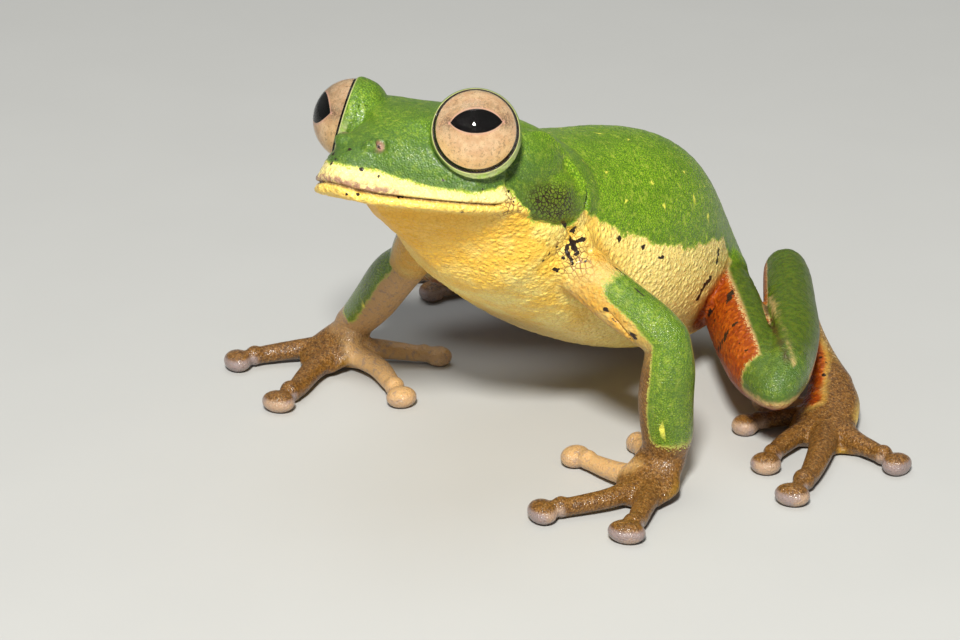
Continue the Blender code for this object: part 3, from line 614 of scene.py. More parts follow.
bodyFolds = [
    ([(7.2, -15.6, 19.2), (7.5, -14.2, 17.6), (7.8, -13.2, 16.3), (8.8, -12.0, 15.0)], 0.22, 0.30),
    ([(6.2, -15.9, 17.2), (7.0, -15.2, 15.6), (7.9, -14.6, 14.0)], 0.30, 0.16),
    ([(10.3, -14.0, 12.9), (11.4, -13.7, 11.8), (12.1, -13.2, 11.0), (12.6, -12.3, 10.2)], 0.14, 0.26),
    ([(7.4, 1.6, 11.2), (6.9, 1.8, 9.4), (6.2, 2.0, 7.4), (4.8, 1.6, 5.0)], 0.26, 0.34),
    ([(8.6, 4.6, 7.5), (10.9, 2.3, 7.3), (12.5, 0.8, 7.2), (14.0, -0.6, 7.1), (15.6, -2.0, 7.1)],
     0.18, 0.62),
]
# the folded leg's seam, where thigh and shank meet
legSeam = [(8.2, 5.0, 7.4), (9.6, 3.6, 7.4), (10.9, 2.3, 7.3), (12.5, 0.8, 7.2), (14.0, -0.6, 7.2),
           (15.4, -1.8, 7.1), (16.2, -2.5, 7.0)]
# the orange inner edge of the folded foot
orangeEdge = [(10.6, 7.4, 3.2), (12.2, 5.9, 2.8), (13.1, 4.5, 2.3), (14.3, 2.6, 2.0)]


def foldTable():
    table = []
    for line, width, depth in headFolds:
        for sign in (1, -1):
            table.append((headLine(*[(f, sign * l, u) for f, l, u in line]), width, depth))
    for line, width, depth in bodyFolds:
        table += [(line, width, depth), (mirrored(line), width, depth)]
    return table


def cells(points, size, which):
    # raised cells with sunk edges, in a fraction of a cell
    out = np.zeros(len(points))
    for k in which:
        near = noise.voronoi(Vector(points[k] / size))[0]
        out[k] = min(1.0, (near[1] - near[0]) * 2.2)
    return out


def drift(points, size, seed):
    place = points / size + seed
    return np.array([noise.noise(Vector(p)) for p in place])


def greenEdge(points):
    # height above the line where green gives way to the pale underside
    f, l, u = headCoords(points).T
    headGap = u - pick([*lipTop, (-11.2, -0.3), (-12.4, -1.0), (-15.2, -1.3), (-16.8, -0.7)], f)
    bodyGap = points[:, 2] - pick(
        [(-15.0, 19.8), (-12.8, 18.55), (-11.1, 17.3), (-9.3, 16.1), (-6.5, 14.8), (-4.6, 13.8),
         (-2.3, 12.8), (-0.3, 12.4), (2.0, 11.9), (4.4, 11.0), (6.0, 8.4), (9.0, 6.0)],
        points[:, 1])
    inHead = smooth(-17.6, -15.6, f)
    return headGap * inHead + bodyGap * (1 - inHead)


def refine(mesh, mask, cuts=1):
    bm = bmesh.new()
    bm.from_mesh(mesh)
    bm.verts.ensure_lookup_table()
    edges = [e for e in bm.edges if mask[e.verts[0].index] and mask[e.verts[1].index]]
    bmesh.ops.subdivide_edges(bm, edges=edges, cuts=cuts, use_grid_fill=True)
    bmesh.ops.triangulate(bm, faces=bm.faces)
    bm.to_mesh(mesh)
    bm.free()


def mouthZone(points, nostrils):
    f, l, u = headCoords(points).T
    zone = (np.abs(u - pick(mouthLine, f)) < 0.26) & (f > -10.6) & (f < 0.5)
    for place in nostrils:
        zone |= np.linalg.norm(points - place, axis=1) < 0.8
    return zone


def holdInside(points):
    # the last millimetre at each end of the model is eased in under its measured box
    ease = skinPlan["ease"]
    for k in (0, 1):
        for side, limit in ((1, cadBox[1][k]), (-1, cadBox[0][k])):
            edge = side * (limit / mm - rowShift[k]) - 0.02
            past = np.maximum(side * points[:, k] - (edge - ease), 0.0)
            points[:, k] -= side * (past - ease * np.tanh(past / ease))
    return points


def shapeSkin(skin):
    # relief, a flat underside where it rests, then fewer triangles
    mesh = skin.data
    nostrils = nostrilPlaces(mesh)
    refine(mesh, mouthZone(readPoints(mesh), nostrils))
    points, normals = readPoints(mesh), readNormals(mesh)
    rise = shapeHead(points, normals, nostrils)
    rise += creases(points, foldTable())
    edge = greenEdge(points)
    body = (points[:, 2] > 2.4) & (np.abs(points[:, 0]) < 8.6) & (points[:, 1] < 7)
    pale = np.flatnonzero((edge < 0.6) & body)
    grain = cells(points, 0.62, pale) - 0.6
    rise[pale] += 0.050 * grain[pale]
    rise[edge > 0.3] += 0.03 * drift(points[edge > 0.3], 0.5, 11.0)
    points = points + normals * rise[:, None]
    floor = -rowShift[2]
    points[:, 2] = np.maximum(points[:, 2], floor)
    points = holdInside(points)
    writePoints(mesh, points)
    thin = skin.modifiers.new("thin", "DECIMATE")
    thin.ratio = min(1.0, skinPlan["triangles"] / sum(len(p.vertices) - 2 for p in mesh.polygons))
    applyModifiers(skin)
    print("skin shaped,", len(skin.data.polygons), "faces")


# eyelids: a clean round opening is set into the skin
lidPlan = {
    "cut": 85.0,                        # skin within this angle of the eye's axis is redrawn
    "lipSide": 8.0,                     # and this much less on the side of the lip,
    "lipTurn": 0.30, "lipWide": 0.75,   # which starts this far from straight down, in radians
    "skinReach": (1.6, 4.3),            # how far from the eye's centre the skin is looked for
    "even": 3.0,                        # the even distance that the lid eases to
    # angles that follow the skin, then (ahead, radius) round the edge and behind the eyeball
    "skinAngles": (82.5, 80.0, 77.5, 75.2, 73.2),
    "edge": [(0.99, 2.815), (1.06, 2.77), (1.105, 2.72), (1.125, 2.685), (1.12, 2.665),
             (1.09, 2.66), (1.04, 2.685), (0.85, 2.68), (0.5, 2.58), (0.1, 2.38), (-0.3, 2.0),
             (-0.6, 1.4), (-0.75, 0.6)],
    "lowerLid": 0.22,                   # how far the lower lid stands out, and where it is
    "lowTurn": math.radians(-62),
}


def cleanEdge(bm):
    # no vertex of the open edge belongs to two loops, and no face hangs by a corner
    for turn in range(8):
        odd = [v for v in bm.verts if not v.link_faces
               or sum(e.is_boundary for e in v.link_edges) > 2]
        if not odd:
            return
        bmesh.ops.delete(bm, geom=odd, context="VERTS")


def orderedLoop(bm):
    # the longest open edge's vertices, one after another
    left = {e for e in bm.edges if e.is_boundary}
    best = []
    while left:
        edge = min(left, key=lambda e: e.index)
        left.discard(edge)
        first, vert = edge.verts
        loop = [first]
        while vert is not first:
            loop.append(vert)
            following = [e for e in vert.link_edges if e in left]
            if not following:
                break
            edge = following[0]
            left.discard(edge)
            vert = edge.other_vert(vert)
        if len(loop) > len(best):
            best = loop
    return best


def lidZone(points):
    zone = np.zeros(len(points), dtype=bool)
    for word in ("left", "right"):
        centre, axis = eyeFrame(word)[:2]
        arm = points - centre
        size = np.linalg.norm(arm, axis=1)
        angle = np.degrees(np.arccos(np.clip(arm @ axis / size, -1, 1)))
        zone |= (size < 4.3) & (angle > 70) & (angle < 92)
    return zone


def joined(start, members):
    # the members that hang together with the first one
    found, edge = {start: True}, [start]
    while edge:
        vert = edge.pop()
        for link in vert.link_edges:
            other = link.other_vert(vert)
            if other in members and other not in found:
                found[other] = True
                edge.append(other)
    return list(found)


def lidCut(word, around):
    # the angle from the eye's axis where the skin is cut, smaller on the lip's side
    lipward = -math.pi / 2 - lidPlan["lipTurn"] * (1 if word == "left" else -1)
    near = bump(math.remainder(around - lipward, 2 * math.pi), lidPlan["lipWide"])
    return lidPlan["cut"] - lidPlan["lipSide"] * near


def openEye(bm, word):
    # takes the skin away in front of the eye, and gives the edge's vertices in their order
    centre, axis, side, up = eyeFrame(word)
    inner = []
    for vert in bm.verts:
        arm = np.array(vert.co) - centre
        size = np.linalg.norm(arm)
        if size < 4.4 and arm @ axis > 0:
            around = math.atan2(arm @ up, arm @ side)
            if arm @ axis > size * math.cos(math.radians(lidCut(word, around))):
                inner.append(vert)
    front = max(inner, key=lambda v: (v.co - Vector(centre)).normalized() @ Vector(axis))
    bmesh.ops.delete(bm, geom=joined(front, set(inner)), context="VERTS")
    cleanEdge(bm)
    bm.edges.index_update()
    loop = orderedLoop(bm)
    onLoop = set(loop)
    stray = [e for e in bm.edges if e.is_boundary and not onLoop.issuperset(e.verts)]
    bmesh.ops.holes_fill(bm, edges=stray, sides=0)
    print("lid loop of", len(loop), "of", sum(e.is_boundary for e in bm.edges))
    return loop


def eased(values, rounds):
    for turn in range(rounds):
        values = (np.roll(values, 1) + values + np.roll(values, -1)) / 3
    return values


def setEyelid(skin, word):
    # the skin round the eye is redrawn in rings that end behind the eyeball
    centre, axis, side, up = eyeFrame(word)
    bm = bmesh.new()
    bm.from_mesh(skin.data)
    bmesh.ops.triangulate(bm, faces=bm.faces)
    tree = BVHTree.FromBMesh(bm)
    start, end = lidPlan["skinReach"]

    def rayAt(angle, around):
        away, ahead = math.sin(math.radians(angle)), math.cos(math.radians(angle))
        return axis * ahead + (side * math.cos(around) + up * math.sin(around)) * away

    def onSkin(ray):
        hit = tree.ray_cast(Vector(centre + ray * start), Vector(ray))
        return min(start + hit[3], end) if hit[3] else lidPlan["even"]

    loop = openEye(bm, word)
    count = len(loop)
    turns = np.unwrap([math.atan2((np.array(v.co) - centre) @ up, (np.array(v.co) - centre) @ side)
                       for v in loop])
    whole = 2 * math.pi * round((turns[-1] - turns[0]) / (2 * math.pi))
    slope = np.arange(count) * whole / count
    wobble = eased(turns - slope, 12)
    for vert, around in zip(loop, wobble + slope):
        ray = rayAt(lidCut(word, around), around)
        vert.co = centre + ray * onSkin(ray)
    lid = bmesh.new()
    loops = []
    innermost = lidPlan["skinAngles"][-1]
    rows = [(angle, None) for angle in lidPlan["skinAngles"]] + lidPlan["edge"]
    for k, (first, second) in enumerate(rows):
        wobble = eased(wobble, 10)
        circle = bmesh.ops.create_circle(lid, segments=count, radius=1.0)["verts"]
        for vert, around in zip(circle, wobble + slope):
            if second is None:
                low = bump(math.remainder(around - lidPlan["lowTurn"], 2 * math.pi), 0.95)
                mix = smooth(83.0, 72.0, first)
                share = (lidCut(word, around) - innermost) / (lidPlan["cut"] - innermost)
                ray = rayAt(innermost + (first - innermost) * share, around)
                far = onSkin(ray) * (1 - mix) + lidPlan["even"] * mix
                vert.co = centre + ray * (far + lidPlan["lowerLid"] * low * bump(k - 1.5, 1.7))
            else:
                vert.co = centre + axis * first + (side * math.cos(around)
                                                   + up * math.sin(around)) * second
        loops.append(edgesOf(circle))
    for first, second in zip(loops, loops[1:]):
        bmesh.ops.bridge_loops(lid, edges=first + second)
    bmesh.ops.contextual_create(lid, geom=loops[-1])
    joinTo(bm, lid)
    bmesh.ops.bridge_loops(bm, edges=[e for e in bm.edges if e.is_boundary])
    bmesh.ops.recalc_face_normals(bm, faces=bm.faces)
    bm.to_mesh(skin.data)
    bm.free()


# colour layers on the skin
# half width, then the places that a mark runs through; it is drawn on the nearest skin
darkMarks = [
    (0.20, (7.5, -9.4, 15.7)), (0.17, (7.7, -7.1, 14.5)), (0.06, (7.9, -6.9, 13.0)),
    (0.10, (7.9, -5.7, 13.3), (7.9, -5.2, 13.2)),
    (0.15, (7.4, -15.1, 18.8), (7.5, -14.7, 18.2)),               # armpit
    (0.19, (7.5, -13.9, 17.7), (7.5, -14.2, 16.9), (7.8, -14.0, 16.2)),
    (0.13, (7.5, -14.2, 16.9), (7.4, -14.6, 16.5), (7.7, -14.3, 15.5)),
    (0.17, (7.5, -14.0, 16.9), (7.9, -13.4, 16.9)),
    (0.14, (6.8, -15.1, 15.1), (6.9, -14.9, 15.0)), (0.10, (7.1, -15.8, 16.3)),
    (0.09, (7.3, -15.3, 16.8)), (0.10, (8.3, -13.7, 15.6)), (0.09, (6.9, -16.1, 15.9)),
    (0.12, (7.3, -14.8, 15.9)), (0.07, (8.7, -13.8, 15.2)),
    (0.20, (10.3, -14.0, 12.9)), (0.22, (12.2, -13.6, 11.5)),      # elbow
    (0.06, (10.3, -14.0, 12.9), (10.9, -13.9, 12.3), (11.4, -13.7, 11.8), (11.8, -13.4, 11.1)),
    (0.09, (11.7, -12.4, 14.0)), (0.08, (9.6, -12.4, 14.9), (10.4, -12.1, 14.6)),
    (0.21, (6.5, 2.9, 10.8), (6.5, 2.7, 10.1)),                    # groin and thigh
    (0.24, (6.8, 1.5, 9.2), (6.9, 0.7, 8.9), (6.8, 0.1, 8.2)),
    (0.21, (6.2, 1.9, 6.9), (5.7, 2.2, 6.1)), (0.25, (7.3, 2.5, 8.1), (7.8, 1.8, 7.9)),
    (0.17, (10.3, -0.4, 7.5), (10.1, -0.8, 6.8), (9.8, -0.9, 6.2), (9.0, -0.4, 5.2)),
    (0.09, (12.0, -2.0, 6.9)), (0.08, (12.9, -2.5, 6.8)), (0.09, (7.4, -0.3, 10.7)),
    (0.12, (7.3, 1.2, 6.4)), (0.08, (8.4, 0.6, 7.6)),
    (0.14, (12.2, 6.5, 3.2)), (0.16, (13.6, 5.1, 2.8)), (0.10, (12.9, 6.2, 3.3)),
]
# the same in the head's frame
headMarks = [
    (0.13, (-1.75, 1.85, 1.25)), (0.15, (-1.55, -0.95, 2.0)), (0.11, (-0.95, -0.4, 1.4)),
    (0.12, (-1.7, 1.9, -0.4)), (0.13, (-3.8, 3.4, -0.4), (-3.9, 3.5, -0.3)),
    (0.11, (-7.0, 5.9, -0.7)), (0.11, (-9.1, 6.7, 0.0)), (0.07, (-8.1, 6.5, 0.8)),
    (0.10, (-10.0, 6.7, -0.3)), (0.09, (-10.6, 6.7, 0.1)), (0.10, (-10.1, 6.6, 0.7)),
    (0.09, (-1.3, 1.3, -0.5)), (0.08, (-2.6, 2.6, 0.9)), (0.07, (-6.0, 4.9, 1.1)),
]
yellowMarks = [
    (0.13, (3.5, -9.8, 21.8)), (0.14, (1.2, -4.2, 20.5)), (0.10, (2.6, -2.6, 20.0)),
    (0.15, (6.1, -4.2, 18.0)), (0.11, (5.4, 0.3, 17.3)), (0.09, (6.4, 0.1, 15.8)),
    (0.16, (7.0, -4.0, 16.4)), (0.10, (6.7, -7.7, 17.8)), (0.13, (5.0, -10.1, 20.8)),
    (0.09, (5.4, -8.1, 19.7)), (0.14, (6.6, 1.6, 13.9)), (0.16, (14.1, -12.9, 5.2)),
    (0.08, (0.6, -8.4, 21.8)), (0.10, (5.2, 2.6, 15.6)), (0.08, (3.4, 1.2, 17.9)),
]


def nearMarks(points, tree, marks):
    # how deep inside the nearest mark a point lies, in its half widths
    best = np.zeros(len(points))
    for half, *places in marks:
        line = [np.array(tree.find_nearest(Vector(place))[0]) for place in places]
        if len(line) == 1:
            reach = half * 3
            inside = np.flatnonzero(np.all(np.abs(points - line[0]) < reach, axis=1))
            away = np.full(len(points), 99.0)
            away[inside] = np.linalg.norm(points[inside] - line[0], axis=1)
        else:
            away = nearLine(points, line, half * 3)[0]
        best = np.maximum(best, 2.0 - away / half)
    return best


def allMarks():
    # the right side has the left side's marks again, moved a little
    dark = list(darkMarks)
    dark += [(half * 0.9, *[(-x, y + 0.5, z - 0.2) for x, y, z in places])
             for half, *places in darkMarks]
    for half, *places in headMarks:
        dark.append((half, *[tuple(headPoint(*p)) for p in places]))
        dark.append((half * 0.8, *[tuple(headPoint(f - 0.6, -l - 0.7, u + 0.1))
                                   for f, l, u in places]))
    yellow = yellowMarks + [(half, *[(-x, y - 1.3, z + 0.2) for x, y, z in places])
                            for half, *places in yellowMarks]
    return dark, yellow


def treeOf(mesh):
    bm = bmesh.new()
    bm.from_mesh(mesh)
    tree = BVHTree.FromBMesh(bm)
    bm.free()
    return tree


def refineMarks(mesh):
    tree, points = treeOf(mesh), readPoints(mesh)
    dark, yellow = allMarks()
    near = nearMarks(points, tree, [(half + 0.28, *places) for half, *places in dark + yellow])
    refine(mesh, near > 0.9, 2)


# where the green back of each limb faces at its first and last row, and its half angle
limbPaint = {
    "upper_arm": ((0.25, -0.35, 0.9), (0.88, -0.47, 0.0), 66),
    "thigh": ((0.35, 0.45, 0.82), (0.35, 0.45, 0.82), 44),
    "shank": ((0.25, 0.1, 0.96), (0.25, 0.1, 0.96), 76),
    "tarsus": ((0.6, 0.6, 0.5), (0.6, 0.6, 0.5), 40),
}


def lay(layers, near, values):
    for key, value in values.items():
        layers[key] = layers[key] * (1 - near) + near * value


def paintLimbs(points, layers):
    for name, rows in limbPlan.items():
        side = -1 if name.endswith("right") else 1
        kind = name.rsplit("_", 1)[0]
        if kind == "forearm":
            continue
        first, last, half = limbPaint.get(kind, ((0, 0, 1), (0, 0, 1), 60))
        if kind == "upper_arm":
            rows = rows + limbPlan[name.replace("upper_arm", "forearm")]
        near, share, middle = nearPath(points, rows)
        arm = points - middle
        arm /= np.maximum(np.linalg.norm(arm, axis=1), 1e-6)[:, None]
        mix = smooth(0.35, 0.70, share)[:, None]
        back = np.array(first) * (1 - mix) + np.array(last) * mix
        back = back * np.array([side, 1, 1])
        back /= np.linalg.norm(back, axis=1)[:, None]
        lean = np.sum(arm * back, axis=1)
        wide = half - 16 * smooth(0.55, 0.25, share) * (kind == "upper_arm")
        edge = np.cos(np.radians(wide))
        top = smooth(edge - 0.20, edge + 0.20, lean)
        near = smooth(1.6, 1.12, near)
        values = {"flank": 0.0, "warm": 0.0}
        if kind == "upper_arm":
            near = near * smooth(0.05, 0.17, share)
            wrist = smooth(0.86, 1.0, share)
            lower = smooth(0.34, 0.56, share)
            values.update(green=top * (1 - 0.8 * wrist) * smooth(0.17, 0.29, share),
                          hand=np.maximum(wrist, lower * 0.9), flash=0.45 * (1 - lower),
                          olive=0.35, wet=smooth(0.35, 0.8, lean))
            # painted light: only the right forearm is painted paler, standing in for the light that
            # falls on it
            values["paleDigitAndForearmLight"] = 0.75 * lower * (1 - 0.5 * wrist) * (side < 0)
        elif kind == "thigh":
            near = near * smooth(0.02, 0.16, share)
            values.update(green=top, flash=1.0, olive=1.0, wet=top * smooth(0.75, 0.95, share))
        elif kind == "shank":
            values.update(green=top, flash=0.9, olive=1.0, wet=top * smooth(0.25, 0.05, share))
        elif kind == "tarsus":
            inner = smooth(0.1, -0.5, lean)
            values.update(green=0.42 * top, olive=1.0, hand=0.9 - 0.8 * inner, flash=inner)
        else:
            values.update(green=0.0, hand=1.0, flash=0.0, wet=0.4)
        lay(layers, near, values)


def paintDigits(points, layers):
    for name, rows in digitPlan.items():
        near = smooth(1.7, 1.15, nearPath(points, rows)[0])
        pale = 0.85 if name.startswith(("finger_1", "finger_2", "toe_1")) else 0.0
        tip = np.array(rows[-1][:3])
        away = np.linalg.norm((points - tip) * np.array([1, 1, 0.6]), axis=1)
        onPad = smooth(1.62, 1.30, away)
        knob = np.array(rows[-2][:3]) * 0.66 + tip * 0.34
        knobby = smooth(0.75, 0.45, np.linalg.norm(points - knob, axis=1))
        cushion = smooth(1.14, 0.92, points[:, 2])
        values = {"green": 0, "flash": 0, "flank": 0, "warm": 0, "hand": 1.0 - pale,
                  "paleDigitAndForearmLight": np.maximum(pale, 0.75 * knobby * (points[:, 2] > 0.8)),
                  "pad": onPad * cushion * (1 - 0.8 * pale), "wet": 0.35 + 0.3 * onPad}
        lay(layers, near, values)


def paintFoldedLegs(points, layers):
    # painted shade down the seam between thigh and shank, a pale rim beside it, the knee's own rim and
    # the foot's orange edge
    wobble = 0.10 * drift(points, 0.35, 2.0)
    flat = np.array([1.0, 1.0, 0.3])
    for word, line in (("left", legSeam), ("right", mirrored(legSeam))):
        away = nearLine(points * flat, [tuple(np.array(p) * flat) for p in line], 1.2)[0]
        # painted shade along the bottom of the seam between thigh and shank
        layers["paintedCreaseShade"] += smooth(0.26, 0.10, away + wobble)
        sign = 1 if word == "left" else -1
        rim = [tuple((np.array(p) + [0.30 * sign, 0.32, 0]) * flat) for p in line]
        away = nearLine(points * flat, rim, 1.0)[0]
        layers["seam"] += 0.8 * smooth(0.24, 0.08, away + wobble)
        tip = np.array(limbPlan["thigh_" + word][-1][:3]) + [0, 0, 0.1]
        knee = smooth(3.1, 2.2, np.linalg.norm(points - tip, axis=1))
        layers["green"] = np.maximum(layers["green"], knee * smooth(4.5, 5.0, points[:, 2] + wobble))
        layers["wet"] = np.maximum(layers["wet"], knee * smooth(4.8, 5.8, points[:, 2]))
        layers["deep"] = np.maximum(layers["deep"], 0.9 * knee)
        layers["olive"] *= 1 - 0.7 * knee
        layers["seam"] += knee * smooth(0.42, 0.22, np.abs(points[:, 2] - 4.72 + 2 * wobble))
        edge = orangeEdge if word == "left" else mirrored(orangeEdge)
        near = smooth(1.25, 0.7, nearLine(points, edge, 1.6)[0] + wobble)
        layers["flash"] = np.maximum(layers["flash"], near)
        layers["hand"] *= 1 - near


def paintLids(points, layers):
    for word in ("left", "right"):
        centre, axis, side, up = eyeFrame(word)
        arm = points - centre
        size = np.linalg.norm(arm, axis=1)
        ahead, x, y = arm @ axis, arm @ side, arm @ up
        across = np.hypot(x, y)
        around = np.arctan2(y, x)
        angle = np.degrees(np.arccos(np.clip(ahead / size, -1, 1)))
        low = bump(np.remainder(around - lidPlan["lowTurn"] + math.pi, 2 * math.pi) - math.pi,
                   1.05)
        nearEye = size < 4.0
        layers["lidRim"] += nearEye * smooth(2.81, 2.78, across) * (ahead > 0.9)
        layers["dark"] += nearEye * smooth(2.735, 2.715, across) * (ahead > 0.7)
        layers["lid"] += nearEye * smooth(0.25, 0.55, low) * smooth(79.5, 77.5, angle) * (ahead > 0.3)
        bowl = pick(lidPlan["edge"][6:], ahead)
        # painted shade: the skin inside the socket behind the eyeball is painted near black
        layers["inside"] += (ahead > -0.8) * (ahead < 1.07) * (across < bowl + 0.025)


def paintMarks(mesh, points, layers):
    tree = treeOf(mesh)
    for place in nostrilPlaces(mesh):
        away = np.linalg.norm(points - place, axis=1)
        layers["nostril"] += smooth(0.52, 0.30, away)
        # painted shade: the middle of each nostril is painted dark, as the shadow in its pit
        layers["dark"] += smooth(0.25, 0.17, away)
    dark, yellow = allMarks()
    rough = drift(points, 0.20, 5.0) * 0.75
    layers["dark"] += smooth(0.85, 1.15, nearMarks(points, tree, dark) + rough)
    layers["yellow"] = smooth(0.8, 1.3, nearMarks(points, tree, yellow) + rough)


def writeLayers(mesh, layers):
    for key, values in layers.items():
        made = mesh.attributes.new(key, "FLOAT", "POINT")
        made.data.foreach_set("value", np.clip(values, 0, 1).astype(np.float32))


def paintHead(f, l, u, layers):
    # places in the head's frame: forward, left, up
    onFace = smooth(-11.5, -9.6, f) * (f < 1) * (np.abs(u) < 3)
    mouth, low, top = pick(mouthLine, f), pick(lipLow, f), pick(lipTop, f)
    layers["lip"] = onFace * smooth(mouth - 0.05, mouth + 0.05, u) * smooth(top + 0.25, top - 0.1, u)
    layers["lowLip"] = onFace * smooth(low - 0.25, low + 0.05, u) * smooth(mouth, mouth - 0.08, u)
    layers["mouth"] = onFace * smooth(-10.2, -9.0, f) * bump(u - mouth, 0.075)
    layers["mauve"] = (smooth(-4.2, -2.9, f) * (f < 1) * smooth(mouth + 0.02, mouth + 0.10, u)
                       * smooth(mouth + 0.62, mouth + 0.40, u))
    layers["warm"] = smooth(low, low - 0.5, u) * smooth(-16, -7, f) * (u > -8)
    layers["shade"] = bump(f + 13.6, 2.7) * bump(u - 0.35, 1.45) * smooth(4.0, 6.0, np.abs(l))
    layers["crack"] = (smooth(-9.0, -10.2, f) * smooth(-17.4, -16.2, f)
                       * smooth(1.9, 0.9, np.abs(u - 0.7)) * smooth(4.6, 6.0, np.abs(l)))
    layers["deep"] = 0.95 * smooth(-15.5, -11.0, f) * (1 - 0.5 * smooth(2.5, 4.5, u))
    layers["wet"] = np.maximum(0.25 * layers["green"], 0.9 * smooth(-10.5, -7, f)
                               * smooth(top + 1.6, top, u) * smooth(low, mouth, u))


def paintLayers(mesh):
    # one attribute for each colour or surface of the skin, from 0 to 1
    points = readPoints(mesh)
    f, l, u = headCoords(points).T
    layers = {key: np.zeros(len(points)) for key in (
        "green", "lip", "lowLip", "mouth", "mauve", "warm", "flank", "flash", "hand", "pad",
        "paleDigitAndForearmLight", "dark", "yellow", "lid", "lidRim", "wet", "crack", "shade", "nostril",
        "inside", "belly", "deep", "olive", "seam", "paintedCreaseShade")}
    gapHeight = greenEdge(points)
    wave = drift(points, 0.9, 3.1) * 0.40 + drift(points, 0.3, 7.7) * 0.22
    layers["green"] = smooth(-0.45, 0.45, gapHeight + wave * (1 - 0.7 * smooth(-10, -8, f)))
    paintHead(f, l, u, layers)
    axilla = np.linalg.norm((points - [7.6, -14.4, 16.4]) * [0.5, 0.75, 0.55], axis=1)
    layers["crack"] = np.maximum(layers["crack"], 0.85 * smooth(1.35, 0.6, axilla))
    layers["flank"] = smooth(-13.5, -6, points[:, 1]) * smooth(3.0, 9.0, points[:, 2])
    # painted shade: the underside low on the belly, below the chest fold, is darkened
    layers["belly"] = smooth(6.2, 5.0, points[:, 2] + 0.55 * (points[:, 1] + 6)) * (u < -1)
    paintLimbs(points, layers)
    paintDigits(points, layers)
    paintFoldedLegs(points, layers)
    paintLids(points, layers)
    paintMarks(mesh, points, layers)
    writeLayers(mesh, layers)


class Nodes:
    # short hand for a material's node tree
    def __init__(self, name):
        self.material = bpy.data.materials.new(name)
        self.material.use_nodes = True
        self.tree = self.material.node_tree
        self.shader = self.tree.nodes["Principled BSDF"]
        coords = self.tree.nodes.new("ShaderNodeTexCoord")
        scale = self.add("ShaderNodeMapping", {"Vector": coords.outputs["Object"]})
        scale.inputs["Scale"].default_value = (1000, 1000, 1000)     # patterns count in mm
        self.place = scale.outputs[0]

    def add(self, kind, inputs=None, **settings):
        node = self.tree.nodes.new(kind)
        for key, value in settings.items():
            setattr(node, key, value)
        for key, value in (inputs or {}).items():
            if isinstance(value, bpy.types.NodeSocket):
                self.tree.links.new(value, node.inputs[key])
            else:
                node.inputs[key].default_value = value
        return node

    def layer(self, name):
        return self.add("ShaderNodeAttribute", attribute_name=name).outputs["Fac"]

    def noise(self, size, detail=3.0, rough=0.55):
        return self.add("ShaderNodeTexNoise", {"Vector": self.place, "Scale": 1 / size,
                                               "Detail": detail, "Roughness": rough}).outputs[0]

    def cells(self, size, feature="F1", output="Distance"):
        return self.add("ShaderNodeTexVoronoi", {"Vector": self.place, "Scale": 1 / size},
                        feature=feature).outputs[output]

    def span(self, value, low, high, first=0.0, last=1.0):
        return self.add("ShaderNodeMapRange",
                        {"Value": value, "From Min": low, "From Max": high, "To Min": first,
                         "To Max": last}, interpolation_type="SMOOTHSTEP").outputs[0]

    def sums(self, kind, a, b):
        return self.add("ShaderNodeMath", {0: a, 1: b}, operation=kind).outputs[0]

    def mix(self, share, first, second):
        node = self.add("ShaderNodeMix", {0: share}, data_type="RGBA")
        for k, value in ((6, first), (7, second)):
            if isinstance(value, bpy.types.NodeSocket):
                self.tree.links.new(value, node.inputs[k])
            else:
                node.inputs[k].default_value = (*value, 1.0)
        return node.outputs[2]

    def bump(self, height, distance, below=None):
        inputs = {"Height": height, "Distance": distance * mm}
        if below is not None:
            inputs["Normal"] = below
        return self.add("ShaderNodeBump", inputs).outputs[0]

    def put(self, **inputs):
        for key, value in inputs.items():
            socket = self.shader.inputs[key.replace("_", " ")]
            if isinstance(value, bpy.types.NodeSocket):
                self.tree.links.new(value, socket)
            else:
                socket.default_value = value
        return self.material


skinColours = {
    "green": (0.235, 0.405, 0.012), "greenDeep": (0.070, 0.155, 0.005),
    "greenPale": (0.40, 0.50, 0.050), "greenHead": (0.050, 0.108, 0.020),
    "olive": (0.105, 0.132, 0.003), "oliveDeep": (0.048, 0.070, 0.002), "jaw": (0.085, 0.085, 0.008),
    # the next colour is painted shade for the crease between thigh and shank
    "creaseShadeBrown": (0.055, 0.022, 0.004),
    "creamBrown": (0.56, 0.37, 0.15), "nostril": (0.38, 0.21, 0.15),
    "belly": (0.93, 0.60, 0.085), "bellyPale": (0.97, 0.78, 0.22), "throat": (0.90, 0.46, 0.025),
    # the deep belly colour is painted shade for the underside below the chest fold
    "bellyUnderShade": (0.27, 0.155, 0.010), "seam": (0.66, 0.31, 0.030),
    "flank": (0.98, 0.78, 0.27), "flash": (0.25, 0.036, 0.001), "flashPale": (0.50, 0.115, 0.003),
    "lip": (0.95, 0.80, 0.30), "lowLip": (0.90, 0.58, 0.10), "mauve": (0.40, 0.22, 0.13),
    "mouth": (0.16, 0.055, 0.02), "hand": (0.062, 0.024, 0.004), "handGold": (0.22, 0.096, 0.016),
    # the pale digit colour also serves as painted light on the right forearm
    "handPale": (0.46, 0.26, 0.085), "paleDigitAndForearmLight": (0.62, 0.38, 0.17), "pad": (0.28, 0.210, 0.195),
    "padTop": (0.22, 0.10, 0.035),
    "dark": (0.020, 0.009, 0.005), "yellow": (0.85, 0.80, 0.10), "lid": (0.34, 0.40, 0.15),
    # the inside colour is painted shade for the socket behind the eyeball
    "lidRim": (0.52, 0.53, 0.22), "inside": (0.010, 0.007, 0.005),
}


